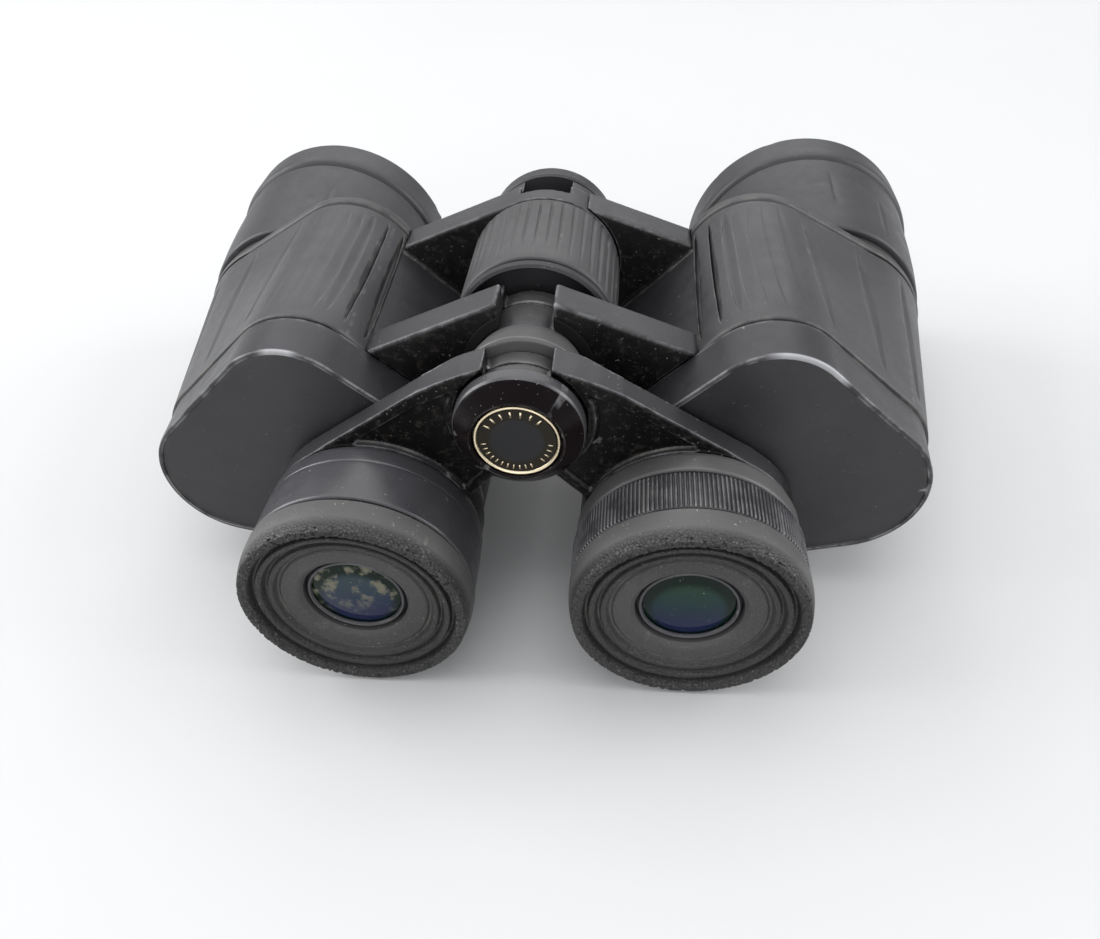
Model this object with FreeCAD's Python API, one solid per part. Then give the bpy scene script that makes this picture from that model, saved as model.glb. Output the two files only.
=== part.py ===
# Porro-prism binoculars, eight power with 40 mm objectives, focused by a wheel on the hinge.
# Working frame: hinge axis along Y through x = 0, z = 0; Y runs from the eyecup faces (0) to the
# objective rims (LENGTH); +X is the user's right, +Z is up when the binoculars lie on a table.
# save() shifts everything so that the table is z = 0 and the bounding box is centred in X and Y.
import FreeCAD, Part
import math
import os

V = FreeCAD.Vector

# ---------------------------------------------------------------- driving dimensions (mm)
LENGTH = 129.0             # eyecup face to objective rim
TABLE_Z = -48.7            # plane that the eyecups and the objective rims rest on
EYE_X, EYE_Z = 30.5, -27.0         # eyepiece axis (61 mm between the eyes)
OBJ_X, OBJ_Z = 61.6, -20.7         # objective axis
PRISM_X, PRISM_Z = 43.0, -8.4      # axis of the folded light path between the two prisms
OBJ_RIM_R = 28.0
EYECUP_R = 21.0            # front lip of the eyecup
SKIRT_R = 21.7             # its skirt, which touches the table

COVER_Y0, COVER_Y1 = 28.5, 38.6    # rear cover: plate face and end of its skirt
BODY_Y1 = 82.0                     # front wall of the prism housing
COVER_T = 1.6
WALL = 2.4
ARMOUR_T = 1.4
# corner circles (x, z, r) of the rounded-triangle housing: upper, inner, outer
COVER_REAR = [(45.0, -4.0, 14.2), (29.5, -25.0, 19.5), (60.0, -20.7, 16.3)]
COVER_FRONT = [(45.0, -4.0, 14.7), (29.5, -25.0, 19.7), (60.2, -20.7, 16.9)]
BODY_REAR = [(45.0, -4.0, 13.6), (29.5, -25.0, 19.1), (60.5, -20.7, 15.8)]
BODY_FRONT = [(45.3, -2.8, 13.9), (29.5, -24.5, 18.7), (61.6, -21.2, 21.8)]
ARMOUR_EDGE_TOP = (31.8, 6.0)      # the armour stops at a plane through these two (x, z) points
ARMOUR_EDGE_BOTTOM = (26.0, -46.0)
LIP_Y0, LIP_Y1 = 82.4, 85.4        # raised bead round the front of the armour

REAR_ARM_Y0, REAR_ARM_Y1 = 38.0, 45.5
KNUCKLE_Y0 = 36.9          # the rear knuckle stands a little behind the arms
FRONT_ARM_Y0, FRONT_ARM_Y1 = 77.0, 85.0
CAP_Y0, CAP_Y1 = 91.3, 97.2
HUB_R = 10.0               # hinge knuckles seen between the arm ends
BELL_END_R = 10.45         # skirt of the bell, which slides over the rear end of the hub
FRONT_HUB_R = 15.9         # left knuckle, nearly level with the wheel
CAP_SEAT_R = 14.3          # right knuckle, under the front cap
AXLE_R = 6.0
RUN = 0.05                 # radial running clearance
GAP = 0.3                  # axial gap between knuckles

WHEEL_Y0, WHEEL_Y1 = 48.8, 76.2
WHEEL_R = 16.2
WHEEL_RIBS = 42
DIOPTRE_Y0, DIOPTRE_Y1 = 7.4, 16.0
DIOPTRE_R = 21.6
DIOPTRE_RIBS = 168

BRIDGE_Y0, BRIDGE_Y1 = 22.3, 29.4
COLLAR_Y0, COLLAR_Y1 = 22.0, 27.2
COLLAR_R = 20.7
BARREL_R = 17.4            # ocular barrel inside the bridge collar
GUIDE_R = 13.0             # ocular barrel inside its guide in the cover
ROD_R = 3.8
INSERT_R = 4.7             # brass tripod insert and its tapping
TAPPING_R = 3.2
END_CAP_R = 11.8
CAP_POCKET_R = 12.0        # round pocket in the bridge arms behind the end cap
MEDALLION_R = 7.7

SHELF_Y0, SHELF_Y1 = 51.0, 53.0
PRISM_HALF_WIDTH = 9.2
PRISM_SHIFT = math.hypot(OBJ_X - PRISM_X, OBJ_Z - PRISM_Z)
PRISM_H = 19.0

LENS_R = 20.0              # objective, 40 mm clear
OBJ_TUBE_R = 23.0
EYE_LENS_R = 8.6


# ---------------------------------------------------------------- helpers
def cyl(r, y0, y1, x=0.0, z=0.0):
    return Part.makeCylinder(r, y1 - y0, V(x, y0, z), V(0, 1, 0))


def tube(r_out, r_in, y0, y1, x=0.0, z=0.0):
    return cyl(r_out, y0, y1, x, z).cut(cyl(r_in, y0 - 1, y1 + 1, x, z))


def box(x0, x1, y0, y1, z0, z1):
    return Part.makeBox(x1 - x0, y1 - y0, z1 - z0, V(x0, y0, z0))


def turned(profile, x=0.0, z=0.0):
    """Solid of revolution about a line parallel to Y; profile is a closed list of (radius, y).
    A third value bulges the side that ends at that point: (radius, y, bulge)."""
    edges = []
    count = len(profile)
    for i in range(count):
        a = profile[i]
        b = profile[(i + 1) % count]
        pa = V(x + a[0], a[1], z)
        pb = V(x + b[0], b[1], z)
        if len(b) > 2:
            mid = (pa + pb) * 0.5
            side = pb - pa
            normal = V(-side.y, side.x, 0).normalize()
            edges.append(Part.Arc(pa, mid + normal * b[2], pb).toShape())
        else:
            edges.append(Part.makeLine(pa, pb))
    face = Part.Face(Part.Wire(edges))
    return face.revolve(V(x, 0, z), V(0, 1, 0), 360)


def polygon_prism(points, y0, y1):
    """Flat polygon given in (x, z), extruded from y0 to y1."""
    wire = Part.makePolygon([V(x, y0, z) for x, z in points] + [V(points[0][0], y0, points[0][1])])
    return Part.Face(wire).extrude(V(0, y1 - y0, 0))


def tangent(a, b):
    """Outward unit normal shared by the outer tangent that runs from circle a to circle b."""
    dx, dz = b[0] - a[0], b[1] - a[1]
    length = math.hypot(dx, dz)
    dx, dz = dx / length, dz / length
    s = (a[2] - b[2]) / length
    c = math.sqrt(1.0 - s * s)
    return (c * dz + s * dx, -c * dx + s * dz)


def hull_wire(circles, y):
    """Arcs and tangent lines wrapped round the circles (x, z, r), given counter-clockwise."""
    count = len(circles)
    normals = [tangent(circles[i], circles[(i + 1) % count]) for i in range(count)]
    edges = []
    for i in range(count):
        x, z, r = circles[i]
        n_in = normals[i - 1]
        n_out = normals[i]
        a_in = math.atan2(n_in[1], n_in[0])
        sweep = (math.atan2(n_out[1], n_out[0]) - a_in) % (2 * math.pi)
        a_mid = a_in + sweep / 2
        start = V(x + r * n_in[0], y, z + r * n_in[1])
        middle = V(x + r * math.cos(a_mid), y, z + r * math.sin(a_mid))
        end = V(x + r * n_out[0], y, z + r * n_out[1])
        edges.append(Part.Arc(start, middle, end).toShape())
        nxt = circles[(i + 1) % count]
        edges.append(Part.makeLine(end, V(nxt[0] + nxt[2] * n_out[0], y, nxt[1] + nxt[2] * n_out[1])))
    return Part.Wire(edges)


def grow(circles, t):
    return [(x, z, r + t) for x, z, r in circles]


def blend(a, b, t):
    return [tuple(p + (q - p) * t for p, q in zip(ca, cb)) for ca, cb in zip(a, b)]


def loft(circles_a, y_a, circles_b, y_b):
    return Part.makeLoft([hull_wire(circles_a, y_a), hull_wire(circles_b, y_b)], True, True)


def slab(circles, y0, y1):
    return Part.Face(hull_wire(circles, y0)).extrude(V(0, y1 - y0, 0))


def body_section(y):
    return blend(BODY_REAR, BODY_FRONT, (y - COVER_Y1) / (BODY_Y1 - COVER_Y1))


def mirrored(shape):
    return shape.mirror(V(0, 0, 0), V(1, 0, 0))


def fuse(shapes):
    result = shapes[0]
    for shape in shapes[1:]:
        result = result.fuse(shape)
    return result.removeSplitter()


def ribbed(r_out, depth, count, y0, y1):
    """Cylinder with straight ribs along Y."""
    points = []
    for i in range(count):
        base = 2 * math.pi * i / count
        step = 2 * math.pi / count
        for share, r in ((0.0, r_out), (0.5, r_out), (0.62, r_out - depth), (0.88, r_out - depth)):
            a = base + share * step
            points.append((r * math.cos(a), r * math.sin(a)))
    return polygon_prism(points, y0, y1)


def mid_height(r, sag):
    """Height above the rim of a spherical cap of the given sag, half-way out from its axis."""
    ball = (r * r + sag * sag) / (2 * abs(sag))
    drop = ball - math.sqrt(ball * ball - r * r / 4)
    return math.copysign(abs(sag) - drop, sag)


def lens(r, y_rear, y_front, sag_rear, sag_front, x, z):
    """Lens with edge planes at y_rear and y_front; positive sag bulges away from the glass."""
    rear = V(x, y_rear - sag_rear, z)
    front = V(x, y_front + sag_front, z)
    edge_rear = V(x + r, y_rear, z)
    edge_front = V(x + r, y_front, z)
    mid_rear = V(x + r / 2, y_rear - mid_height(r, sag_rear), z)
    mid_front = V(x + r / 2, y_front + mid_height(r, sag_front), z)
    edges = [
        Part.makeLine(rear, front),
        Part.Arc(front, mid_front, edge_front).toShape(),
        Part.makeLine(edge_front, edge_rear),
        Part.Arc(edge_rear, mid_rear, rear).toShape(),
    ]
    return Part.Face(Part.Wire(edges)).revolve(V(x, 0, z), V(0, 1, 0), 360)


def eased(shape, r):
    """Round every edge of a plain block."""
    return shape.makeFillet(r, shape.Edges)


def save(node, shape):
    placed = shape.copy()
    placed.translate(V(0, -LENGTH / 2, -TABLE_Z))
    placed.exportStep("parts/%s.step" % node)


# ---------------------------------------------------------------- prism housing
def rear_cover():
    outer = loft(COVER_REAR, COVER_Y0, COVER_FRONT, COVER_Y1)
    inner = loft(grow(COVER_REAR, -COVER_T), COVER_Y0 + 1.8, grow(COVER_FRONT, -COVER_T), COVER_Y1 + 0.01)
    rim = slab(grow(COVER_REAR, -0.9), COVER_Y0 - 1, COVER_Y0 + 0.35)
    cover = outer.cut(inner).cut(rim)
    return cover.cut(cyl(GUIDE_R + 1.1, COVER_Y0 - 2, COVER_Y0 + 4, EYE_X, EYE_Z))


def hinge_arm_rear():
    """Rear arm as a full web; its end face stands clear of the centre line."""
    web = [(5.1, 14.3), (5.1, -7.0), (9.0, -12.5), (24.0, -14.0), (36.0, -4.0), (36.0, 1.5)]
    return eased(polygon_prism(web, REAR_ARM_Y0, REAR_ARM_Y1), 0.5)


def hinge_arm_front():
    web = [(5.6, 14.9), (5.6, -9.0), (10.0, -13.5), (24.0, -16.0), (37.0, -4.0), (37.0, 2.6)]
    return eased(polygon_prism(web, FRONT_ARM_Y0, FRONT_ARM_Y1), 0.5)


def housing_shell():
    outer = loft(BODY_REAR, COVER_Y1 + 0.2, BODY_FRONT, BODY_Y1)
    front_inside = grow(body_section(BODY_Y1 - WALL), -WALL)
    inner = loft(grow(BODY_REAR, -WALL), COVER_Y1 - 9, front_inside, BODY_Y1 - WALL)
    spigot = slab(grow(BODY_REAR, -1.4), COVER_Y1 - 5.5, COVER_Y1 + 0.2)
    shell = outer.fuse(spigot).cut(inner)
    return shell.cut(cyl(20.5, BODY_Y1 - 6, BODY_Y1 + 6, OBJ_X, OBJ_Z))


def armour_side(y0, y1, shift=0.0):
    """Everything outboard of the plane where the armour stops."""
    tx, tz = ARMOUR_EDGE_TOP
    bx, bz = ARMOUR_EDGE_BOTTOM
    slope = (tx - bx) / (tz - bz)
    top, bottom = 30.0, -60.0
    x_top = tx + slope * (top - tz) + shift
    x_bottom = tx + slope * (bottom - tz) + shift
    return polygon_prism([(x_top, top), (x_bottom, bottom), (110, bottom), (110, top)], y0, y1)


def kept_clear():
    """Room the hinge arms leave for the cover's skirt and for the rubber armour."""
    skirt = slab(grow(COVER_FRONT, 0.3), REAR_ARM_Y0 - 1, COVER_Y1 + 0.2)
    return skirt.fuse(armour_side(COVER_Y1, 100, -0.1))


def right_body():
    """Right casting: its knuckles turn on the bush and the pin that the left casting holds."""
    shell = housing_shell()
    inside = loft(grow(BODY_REAR, -WALL), COVER_Y1 - 9, grow(BODY_FRONT, -WALL), BODY_Y1 + 1)
    rear = hinge_arm_rear().fuse(cyl(HUB_R, KNUCKLE_Y0, REAR_ARM_Y1 - 0.15))
    front = hinge_arm_front().cut(cyl(FRONT_HUB_R + GAP, FRONT_ARM_Y0 - 1, FRONT_ARM_Y1 + 1))
    link = polygon_prism([(8.0, 7.5), (8.0, -9.0), (24.0, -14.0), (24.0, 4.0)], FRONT_ARM_Y1 - 1.0, 91.0)
    link = link.cut(cyl(FRONT_HUB_R + GAP, FRONT_ARM_Y0, FRONT_ARM_Y1 + GAP))
    knuckle = cyl(CAP_SEAT_R, FRONT_ARM_Y1 + GAP, 91.0)
    window = box(-5.3, 5.3, FRONT_ARM_Y1, 92.0, 0, 20).cut(cyl(11.0, 80, 95))
    arms = fuse([rear, front, link, knuckle.cut(window)])
    arms = arms.cut(inside).cut(kept_clear())
    bores = cyl(AXLE_R + RUN, KNUCKLE_Y0 - 1, 92.0)
    wheel_space = cyl(WHEEL_R + 0.8, WHEEL_Y0 - 0.8, FRONT_ARM_Y0)
    return shell.fuse(arms).cut(bores).cut(wheel_space).removeSplitter()


def left_body():
    """Left casting: its rear knuckle sits in the wheel's recess, its front knuckle closes the bridge."""
    shell = mirrored(housing_shell())
    inside = mirrored(loft(grow(BODY_REAR, -WALL), COVER_Y1 - 9, grow(BODY_FRONT, -WALL), BODY_Y1 + 1))
    rear = mirrored(hinge_arm_rear()).cut(cyl(HUB_R + GAP, REAR_ARM_Y0 - 1, REAR_ARM_Y1))
    link = polygon_prism([(-5.1, 11.5), (-5.1, -7.0), (-9.5, -9.0), (-12.0, 0.0), (-9.0, 9.0)], 42.0, 49.9)
    link = link.cut(cyl(HUB_R + GAP, REAR_ARM_Y0 - 1, REAR_ARM_Y1)).common(cyl(13.6, 40, 52))
    knuckle = cyl(HUB_R, REAR_ARM_Y1 + GAP - 0.15, 49.9)
    front = mirrored(hinge_arm_front()).fuse(cyl(FRONT_HUB_R, FRONT_ARM_Y0, FRONT_ARM_Y1))
    front = front.cut(box(-5.3, 5.3, 81.3, 86.0, 0, 20).cut(cyl(11.0, 80, 87)))
    arms = fuse([rear, link, knuckle, front]).cut(inside).cut(mirrored(kept_clear()))
    bores = cyl(AXLE_R, REAR_ARM_Y0 - 1, 92.0)
    wheel_space = tube(WHEEL_R + 0.8, 14.3, WHEEL_Y0 - 0.8, FRONT_ARM_Y0)
    rest = cyl(WHEEL_R + 0.8, 52.0, FRONT_ARM_Y0)
    return shell.fuse(arms).cut(bores).cut(wheel_space).cut(rest).removeSplitter()


# ---------------------------------------------------------------- rubber armour
def arc_point(circles, corner, share, y):
    """Point on the wrapped outline: share runs 0 to 1 along a corner's arc, then 1 to 2 along the
    straight run that follows it."""
    count = len(circles)
    n_in = tangent(circles[corner - 1], circles[corner])
    n_out = tangent(circles[corner], circles[(corner + 1) % count])
    a_in = math.atan2(n_in[1], n_in[0])
    sweep = (math.atan2(n_out[1], n_out[0]) - a_in) % (2 * math.pi)
    x, z, r = circles[corner]
    a = a_in + min(share, 1.0) * sweep
    on_arc = V(x + r * math.cos(a), y, z + r * math.sin(a))
    outward = V(math.cos(a), 0, math.sin(a))
    if share <= 1.0:
        return on_arc, outward
    nx, nz, nr = circles[(corner + 1) % count]
    on_next = V(nx + nr * n_out[0], y, nz + nr * n_out[1])
    return on_arc + (on_next - on_arc) * (share - 1.0), outward


def groove(corner, share, y0, y1, width, depth):
    """Cutter for a long groove that tapers to a point at both ends."""
    rear_y, front_y = COVER_Y1 + 0.3, LIP_Y0 - 0.9
    start, _ = arc_point(grow(BODY_REAR, ARMOUR_T), corner, share, rear_y)
    end, side = arc_point(grow(BODY_FRONT, ARMOUR_T), corner, share, front_y)
    run = end - start
    a = start + run * ((y0 - rear_y) / (front_y - rear_y)) + side
    b = start + run * ((y1 - rear_y) / (front_y - rear_y)) + side
    across = side.cross(b - a).normalize() * (width / 2)
    middle = (a + b) * 0.5
    outline = [
        Part.Arc(a, middle + across, b).toShape(),
        Part.Arc(b, middle - across, a).toShape(),
    ]
    return Part.Face(Part.Wire(outline)).extrude(side * -(1.0 + depth))


def right_armour():
    rear = grow(BODY_REAR, ARMOUR_T)
    front = grow(BODY_FRONT, ARMOUR_T)
    wall = loft(rear, COVER_Y1 + 0.3, front, LIP_Y0 - 0.9)
    neck = slab(grow(BODY_FRONT, ARMOUR_T - 0.4), LIP_Y0 - 0.9, LIP_Y0)
    bead = slab(grow(BODY_FRONT, ARMOUR_T + 0.5), LIP_Y0, LIP_Y1)
    lead = loft(front, LIP_Y1, grow(BODY_FRONT, -1.2), LIP_Y1 + 2.0)
    skin = wall.fuse(neck).fuse(bead).fuse(lead)
    core = loft(BODY_REAR, COVER_Y1 + 0.2, BODY_FRONT, BODY_Y1)
    skin = skin.cut(core).cut(cyl(OBJ_TUBE_R + 0.02, BODY_Y1, 100, OBJ_X, OBJ_Z))
    skin = skin.common(armour_side(30, 100))
    for share in (1.08, 0.97):
        skin = skin.cut(groove(0, share, 42.5, 80.5, 2.2, 0.8))
    for share in (0.79, 0.67, 0.53, 0.38, 0.2):
        skin = skin.cut(groove(0, share, 46.0, 76.0, 1.4, 0.4))
    for share in (1.92, 1.3, 0.9, 0.7, 0.5, 0.28, 0.1):
        skin = skin.cut(groove(2, share, 42.5, 80.5, 2.6, 0.8))
    return skin.removeSplitter()


# ---------------------------------------------------------------- prisms
def racetrack(a, b, r, y0, y1):
    circles = [(a[0], a[1], r), (b[0], b[1], r)]
    return Part.Face(hull_wire(circles, y0)).extrude(V(0, y1 - y0, 0))


def prism(a, b, y_face, way):
    """Right-angle prism over the light paths a and b: long face at y_face, roof towards way."""
    cx, cz = (a[0] + b[0]) / 2, (a[1] + b[1]) / 2
    ux, uz = (b[0] - a[0]) / PRISM_SHIFT, (b[1] - a[1]) / PRISM_SHIFT
    full = PRISM_SHIFT
    profile = [(-full, 0.0), (full, 0.0), (full - PRISM_H, PRISM_H), (PRISM_H - full, PRISM_H)]
    points = []
    for s, h in profile:
        points.append(V(cx + s * ux + 15 * uz, y_face + way * h, cz + s * uz - 15 * ux))
    wedge = Part.Face(Part.makePolygon(points + [points[0]])).extrude(V(-30 * uz, 0, 30 * ux))
    y0, y1 = sorted((y_face, y_face + way * PRISM_H))
    return wedge.common(racetrack(a, b, PRISM_HALF_WIDTH, y0, y1))


def prism_clip(a, b, y_face, way):
    """Thin spring strap over a prism's roof, with a foot on the shelf at each side."""
    cx, cz = (a[0] + b[0]) / 2, (a[1] + b[1]) / 2
    ux, uz = (b[0] - a[0]) / PRISM_SHIFT, (b[1] - a[1]) / PRISM_SHIFT
    w = PRISM_HALF_WIDTH + 0.25
    t = 0.5
    h = PRISM_H + 0.1
    path = [(-w - 3.0, 0), (-w - 3.0, t), (-w - t, t), (-w - t, h + t), (w + t, h + t), (w + t, t),
            (w + 3.0, t), (w + 3.0, 0), (w, 0), (w, h), (-w, h), (-w, 0)]
    points = []
    for s, k in path:
        points.append(V(cx - s * uz - 3.0 * ux, y_face + way * k, cz + s * ux - 3.0 * uz))
    return Part.Face(Part.makePolygon(points + [points[0]])).extrude(V(6.0 * ux, 0, 6.0 * uz))


def prism_shelf():
    plate = slab(grow(body_section(SHELF_Y0), -WALL - 0.3), SHELF_Y0, SHELF_Y1)
    for x, z, r in ((OBJ_X, OBJ_Z, 8.8), (PRISM_X, PRISM_Z, 8.2), (EYE_X, EYE_Z, 8.6)):
        plate = plate.cut(cyl(r, SHELF_Y0 - 1, SHELF_Y1 + 1, x, z))
    return plate


# ---------------------------------------------------------------- objective end
def objective_tube():
    return turned([(18.6, 76.0), (20.5, 76.0), (20.5, 82.0), (OBJ_TUBE_R, 82.0), (OBJ_TUBE_R, 127.6),
                   (21.4, 127.6), (21.4, 112.0), (19.4, 112.0), (19.4, 110.0), (21.0, 108.0),
                   (21.0, 84.5), (18.6, 84.5)], OBJ_X, OBJ_Z)


def objective_sleeve():
    return turned([(OBJ_TUBE_R, 87.6), (24.3, 87.6), (26.0, 102.0), (27.1, 117.4), (26.8, 117.6),
                   (26.8, 118.0), (27.5, 118.3), (OBJ_RIM_R, 119.4), (OBJ_RIM_R, 127.8),
                   (26.8, LENGTH, -0.3), (24.0, LENGTH), (22.6, 127.7, 0.3), (OBJ_TUBE_R, 127.7)],
                  OBJ_X, OBJ_Z)


def objective_cell():
    return turned([(20.05, 113.4), (18.9, 113.4), (18.9, 112.1), (21.35, 112.1), (21.35, 121.4),
                   (20.05, 121.4)], OBJ_X, OBJ_Z)


def objective_retainer():
    """Threaded front ring with two spanner notches."""
    ring = turned([(18.9, 120.0), (20.0, 120.0), (20.0, 121.5), (21.3, 121.5), (21.3, 123.4),
                   (19.6, 123.4)], OBJ_X, OBJ_Z)
    for x in (OBJ_X - 20.6, OBJ_X + 20.6):
        ring = ring.cut(box(x - 1.2, x + 1.2, 122.4, 124, OBJ_Z - 0.8, OBJ_Z + 0.8))
    return ring


def objective_flint():
    return lens(LENS_R, 113.5, 115.9, 0.4, -1.5, OBJ_X, OBJ_Z)


def objective_crown():
    return lens(LENS_R, 116.0, 118.2, 1.5, 2.2, OBJ_X, OBJ_Z).common(cyl(LENS_R, 100, 130, OBJ_X, OBJ_Z))


# ---------------------------------------------------------------- oculars
def eyepiece_guide():
    """Bush in the cover that the ocular barrel slides in."""
    return turned([(GUIDE_R + RUN, 28.0), (GUIDE_R + 1.8, 28.0), (GUIDE_R + 1.8, 28.8), (GUIDE_R + 1.05, 28.8),
                   (GUIDE_R + 1.05, 34.6), (GUIDE_R + RUN, 34.6)], EYE_X, EYE_Z)


def ocular_barrel(x):
    """Stepped barrel: wide in the bridge collar, narrow where it slides in the guide."""
    return turned([(14.4, 8.6), (15.4, 8.6), (15.4, 21.9), (BARREL_R, 21.9), (BARREL_R, 26.6),
                   (GUIDE_R, 26.6), (GUIDE_R, 38.4), (11.9, 38.4), (11.9, 27.6), (14.4, 25.0)], x, EYE_Z)


def eyecup(x):
    """Folded-down rubber eyecup: thick outer lip, two concentric ridges, dished face, skirt."""
    return turned([(9.7, 3.6), (10.4, 2.6), (13.2, 1.9), (15.2, 1.3, 0.12), (15.8, 1.9), (16.3, 1.9),
                   (16.7, 0.8), (17.9, 0.7, 0.25), (18.3, 1.6), (18.9, 1.6), (19.2, 0.4), (19.8, 0.0), (20.7, 0.0),
                   (EYECUP_R, 0.35), (SKIRT_R, 3.6, 0.1), (SKIRT_R, 7.1), (16.0, 7.1), (16.0, 5.2), (9.7, 5.2)],
                  x, EYE_Z)


def eye_cell(x):
    """Inner cell that carries the lenses; the eyecup clips round its rear flange."""
    return turned([(EYE_LENS_R + 0.05, 5.3), (15.95, 5.3), (15.95, 7.0), (14.35, 7.0), (14.35, 24.0),
                   (12.6, 24.0), (12.6, 10.6), (EYE_LENS_R + 0.05, 9.6)], x, EYE_Z)


def lens_retainer(x):
    """Thin threaded ring that holds the eye lens."""
    return turned([(EYE_LENS_R - 0.25, 3.5), (9.1, 3.5), (9.1, 4.6), (9.4, 4.6), (9.4, 5.3),
                   (EYE_LENS_R + 0.05, 5.3), (EYE_LENS_R + 0.05, 4.3), (EYE_LENS_R - 0.25, 4.2)], x, EYE_Z)


def eye_lens(x):
    return lens(EYE_LENS_R, 4.4, 8.2, 1.1, 0.9, x, EYE_Z)


def field_lens(x):
    return lens(12.55, 14.5, 17.6, 0.3, 3.0, x, EYE_Z)


def field_stop(x):
    return turned([(9.8, 22.8), (12.55, 22.8), (12.55, 24.0), (9.8, 24.0)], x, EYE_Z)


def dioptre_ring():
    ring = ribbed(DIOPTRE_R, 0.45, DIOPTRE_RIBS, DIOPTRE_Y0 + 0.5, DIOPTRE_Y1)
    ring.translate(V(EYE_X, 0, EYE_Z))
    ring = ring.fuse(cyl(DIOPTRE_R - 0.5, DIOPTRE_Y0, DIOPTRE_Y1, EYE_X, EYE_Z))
    return ring.cut(cyl(15.5, DIOPTRE_Y0 - 1, DIOPTRE_Y1 + 1, EYE_X, EYE_Z))


def right_collar_ring():
    return turned([(15.45, 17.0), (20.9, 17.0), (21.1, 17.3), (21.1, 21.5), (20.8, 21.85), (15.45, 21.85)],
                  EYE_X, EYE_Z)


def left_collar_sleeve():
    return turned([(15.45, 7.6), (21.3, 7.6), (21.5, 7.9), (21.3, 17.4), (21.0, 17.6), (21.1, 18.0),
                   (21.1, 21.5), (20.8, 21.85), (15.45, 21.85)], -EYE_X, EYE_Z)


# ---------------------------------------------------------------- focusing bridge
def bridge_arm(own_y0, own_y1):
    """Right-hand arm: knuckle on the rod head, ribbed web, and the collar round the ocular barrel.
    The knuckle takes only own_y0 to own_y1; the other arm's knuckle fills the rest."""
    collar = (EYE_X, EYE_Z, COLLAR_R)
    crest = [(6.0, 11.0), (10.0, 9.6), (14.0, 7.95), (18.0, 6.0)]
    crest.append(tangent_point(crest[-1], collar, 1))
    lower = (11.6, -19.5)
    web = polygon_prism(crest + [(EYE_X, EYE_Z), lower, (3.4, -12.0), (6.0, -6.0)], 23.4, 26.6)
    rib = polygon_prism(crest + [(x - 0.4, z - 2.6) for x, z in reversed(crest)], BRIDGE_Y0, 27.4)
    root = polygon_prism(crest[:4] + [(14.5, -4.0), (9.5, -9.5), (6.0, -6.0)], BRIDGE_Y0, BRIDGE_Y1)
    ring = tube(COLLAR_R, BARREL_R, COLLAR_Y0, COLLAR_Y1, EYE_X, EYE_Z)
    foot = strip((3.8, -11.2), lower, 2.0, BRIDGE_Y0 + 0.4, 27.0)
    plate = fuse([web, rib, root, foot]).cut(cyl(BARREL_R + 0.5, 20, 30, EYE_X, EYE_Z)).fuse(ring)
    plate = plate.cut(cyl(HUB_R + GAP, own_y1, 31)).cut(cyl(HUB_R + GAP, 20, own_y0))
    plate = plate.cut(cyl(CAP_POCKET_R, 20, 24.0))
    knuckle = cyl(HUB_R, own_y0, own_y1)
    return plate.fuse(knuckle)


def tangent_point(p, circle, side):
    """Point where the line from p touches the circle; side picks which of the two."""
    cx, cz, r = circle
    dx, dz = cx - p[0], cz - p[1]
    dist = math.hypot(dx, dz)
    angle = math.atan2(dz, dx) + side * math.asin(r / dist)
    run = math.sqrt(dist * dist - r * r)
    return (p[0] + run * math.cos(angle), p[1] + run * math.sin(angle))


def strip(p, q, width, y0, y1):
    """Bar of the given width on the lower side of the line p to q."""
    dx, dz = q[0] - p[0], q[1] - p[1]
    length = math.hypot(dx, dz)
    nx, nz = dz / length * width, -dx / length * width
    if p[1] < 0:
        nx, nz = -nx, -nz
    return polygon_prism([p, q, (q[0] + nx, q[1] + nz), (p[0] + nx, p[1] + nz)], y0, y1)


def right_bridge_arm():
    arm = bridge_arm(BRIDGE_Y0, 25.7)
    return arm.cut(cyl(AXLE_R + RUN, 20, 31)).removeSplitter()


def left_bridge_arm():
    arm = mirrored(bridge_arm(26.0, BRIDGE_Y1))
    return arm.cut(cyl(AXLE_R, 20, 31)).removeSplitter()


def focus_rod():
    """Threaded rod with the stepped head that carries both bridge knuckles."""
    return turned([(0, 19.5), (4.0, 19.5), (4.0, 22.0), (AXLE_R, 22.0), (AXLE_R, 29.6), (ROD_R, 29.6),
                   (ROD_R, 66.6), (ROD_R - 0.8, 67.4), (0, 67.4)])


def bridge_bell():
    """Flared sleeve on the rod between the bridge and the rear hinge."""
    return turned([(ROD_R, 29.7), (12.0, 29.7), (12.5, 30.2), (BELL_END_R, 37.5, -0.3), (HUB_R + 0.1, 37.5),
                   (HUB_R + 0.1, 36.4), (ROD_R, 36.4)])


def bridge_end_cap():
    return turned([(4.0, 18.0), (MEDALLION_R + 0.2, 18.0), (MEDALLION_R + 0.2, 16.4), (8.4, 16.0),
                   (11.5, 18.9), (END_CAP_R, 19.4), (END_CAP_R, 22.0), (4.0, 22.0)])


def medallion_ring():
    return tube(MEDALLION_R, MEDALLION_R - 0.75, 16.5, 17.9)


def medallion_disc():
    return cyl(MEDALLION_R - 0.8, 16.7, 17.9)


# ---------------------------------------------------------------- hinge and focus wheel
def rear_hinge_bush():
    return tube(AXLE_R, ROD_R + RUN, 36.9, 52.6)


def rear_hinge_washer():
    """Thin ring round the knuckle, cut away at the top between the arm ends."""
    return tube(12.6, BELL_END_R + 0.35, 37.1, 37.9).cut(box(-5.2, 5.2, 36, 39, 5.0, 14))


def front_hinge_pin():
    pin = cyl(AXLE_R, FRONT_ARM_Y0 + 0.1, CAP_Y0)
    return pin.cut(cyl(INSERT_R, 86.0, CAP_Y0 + 1))


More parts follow.
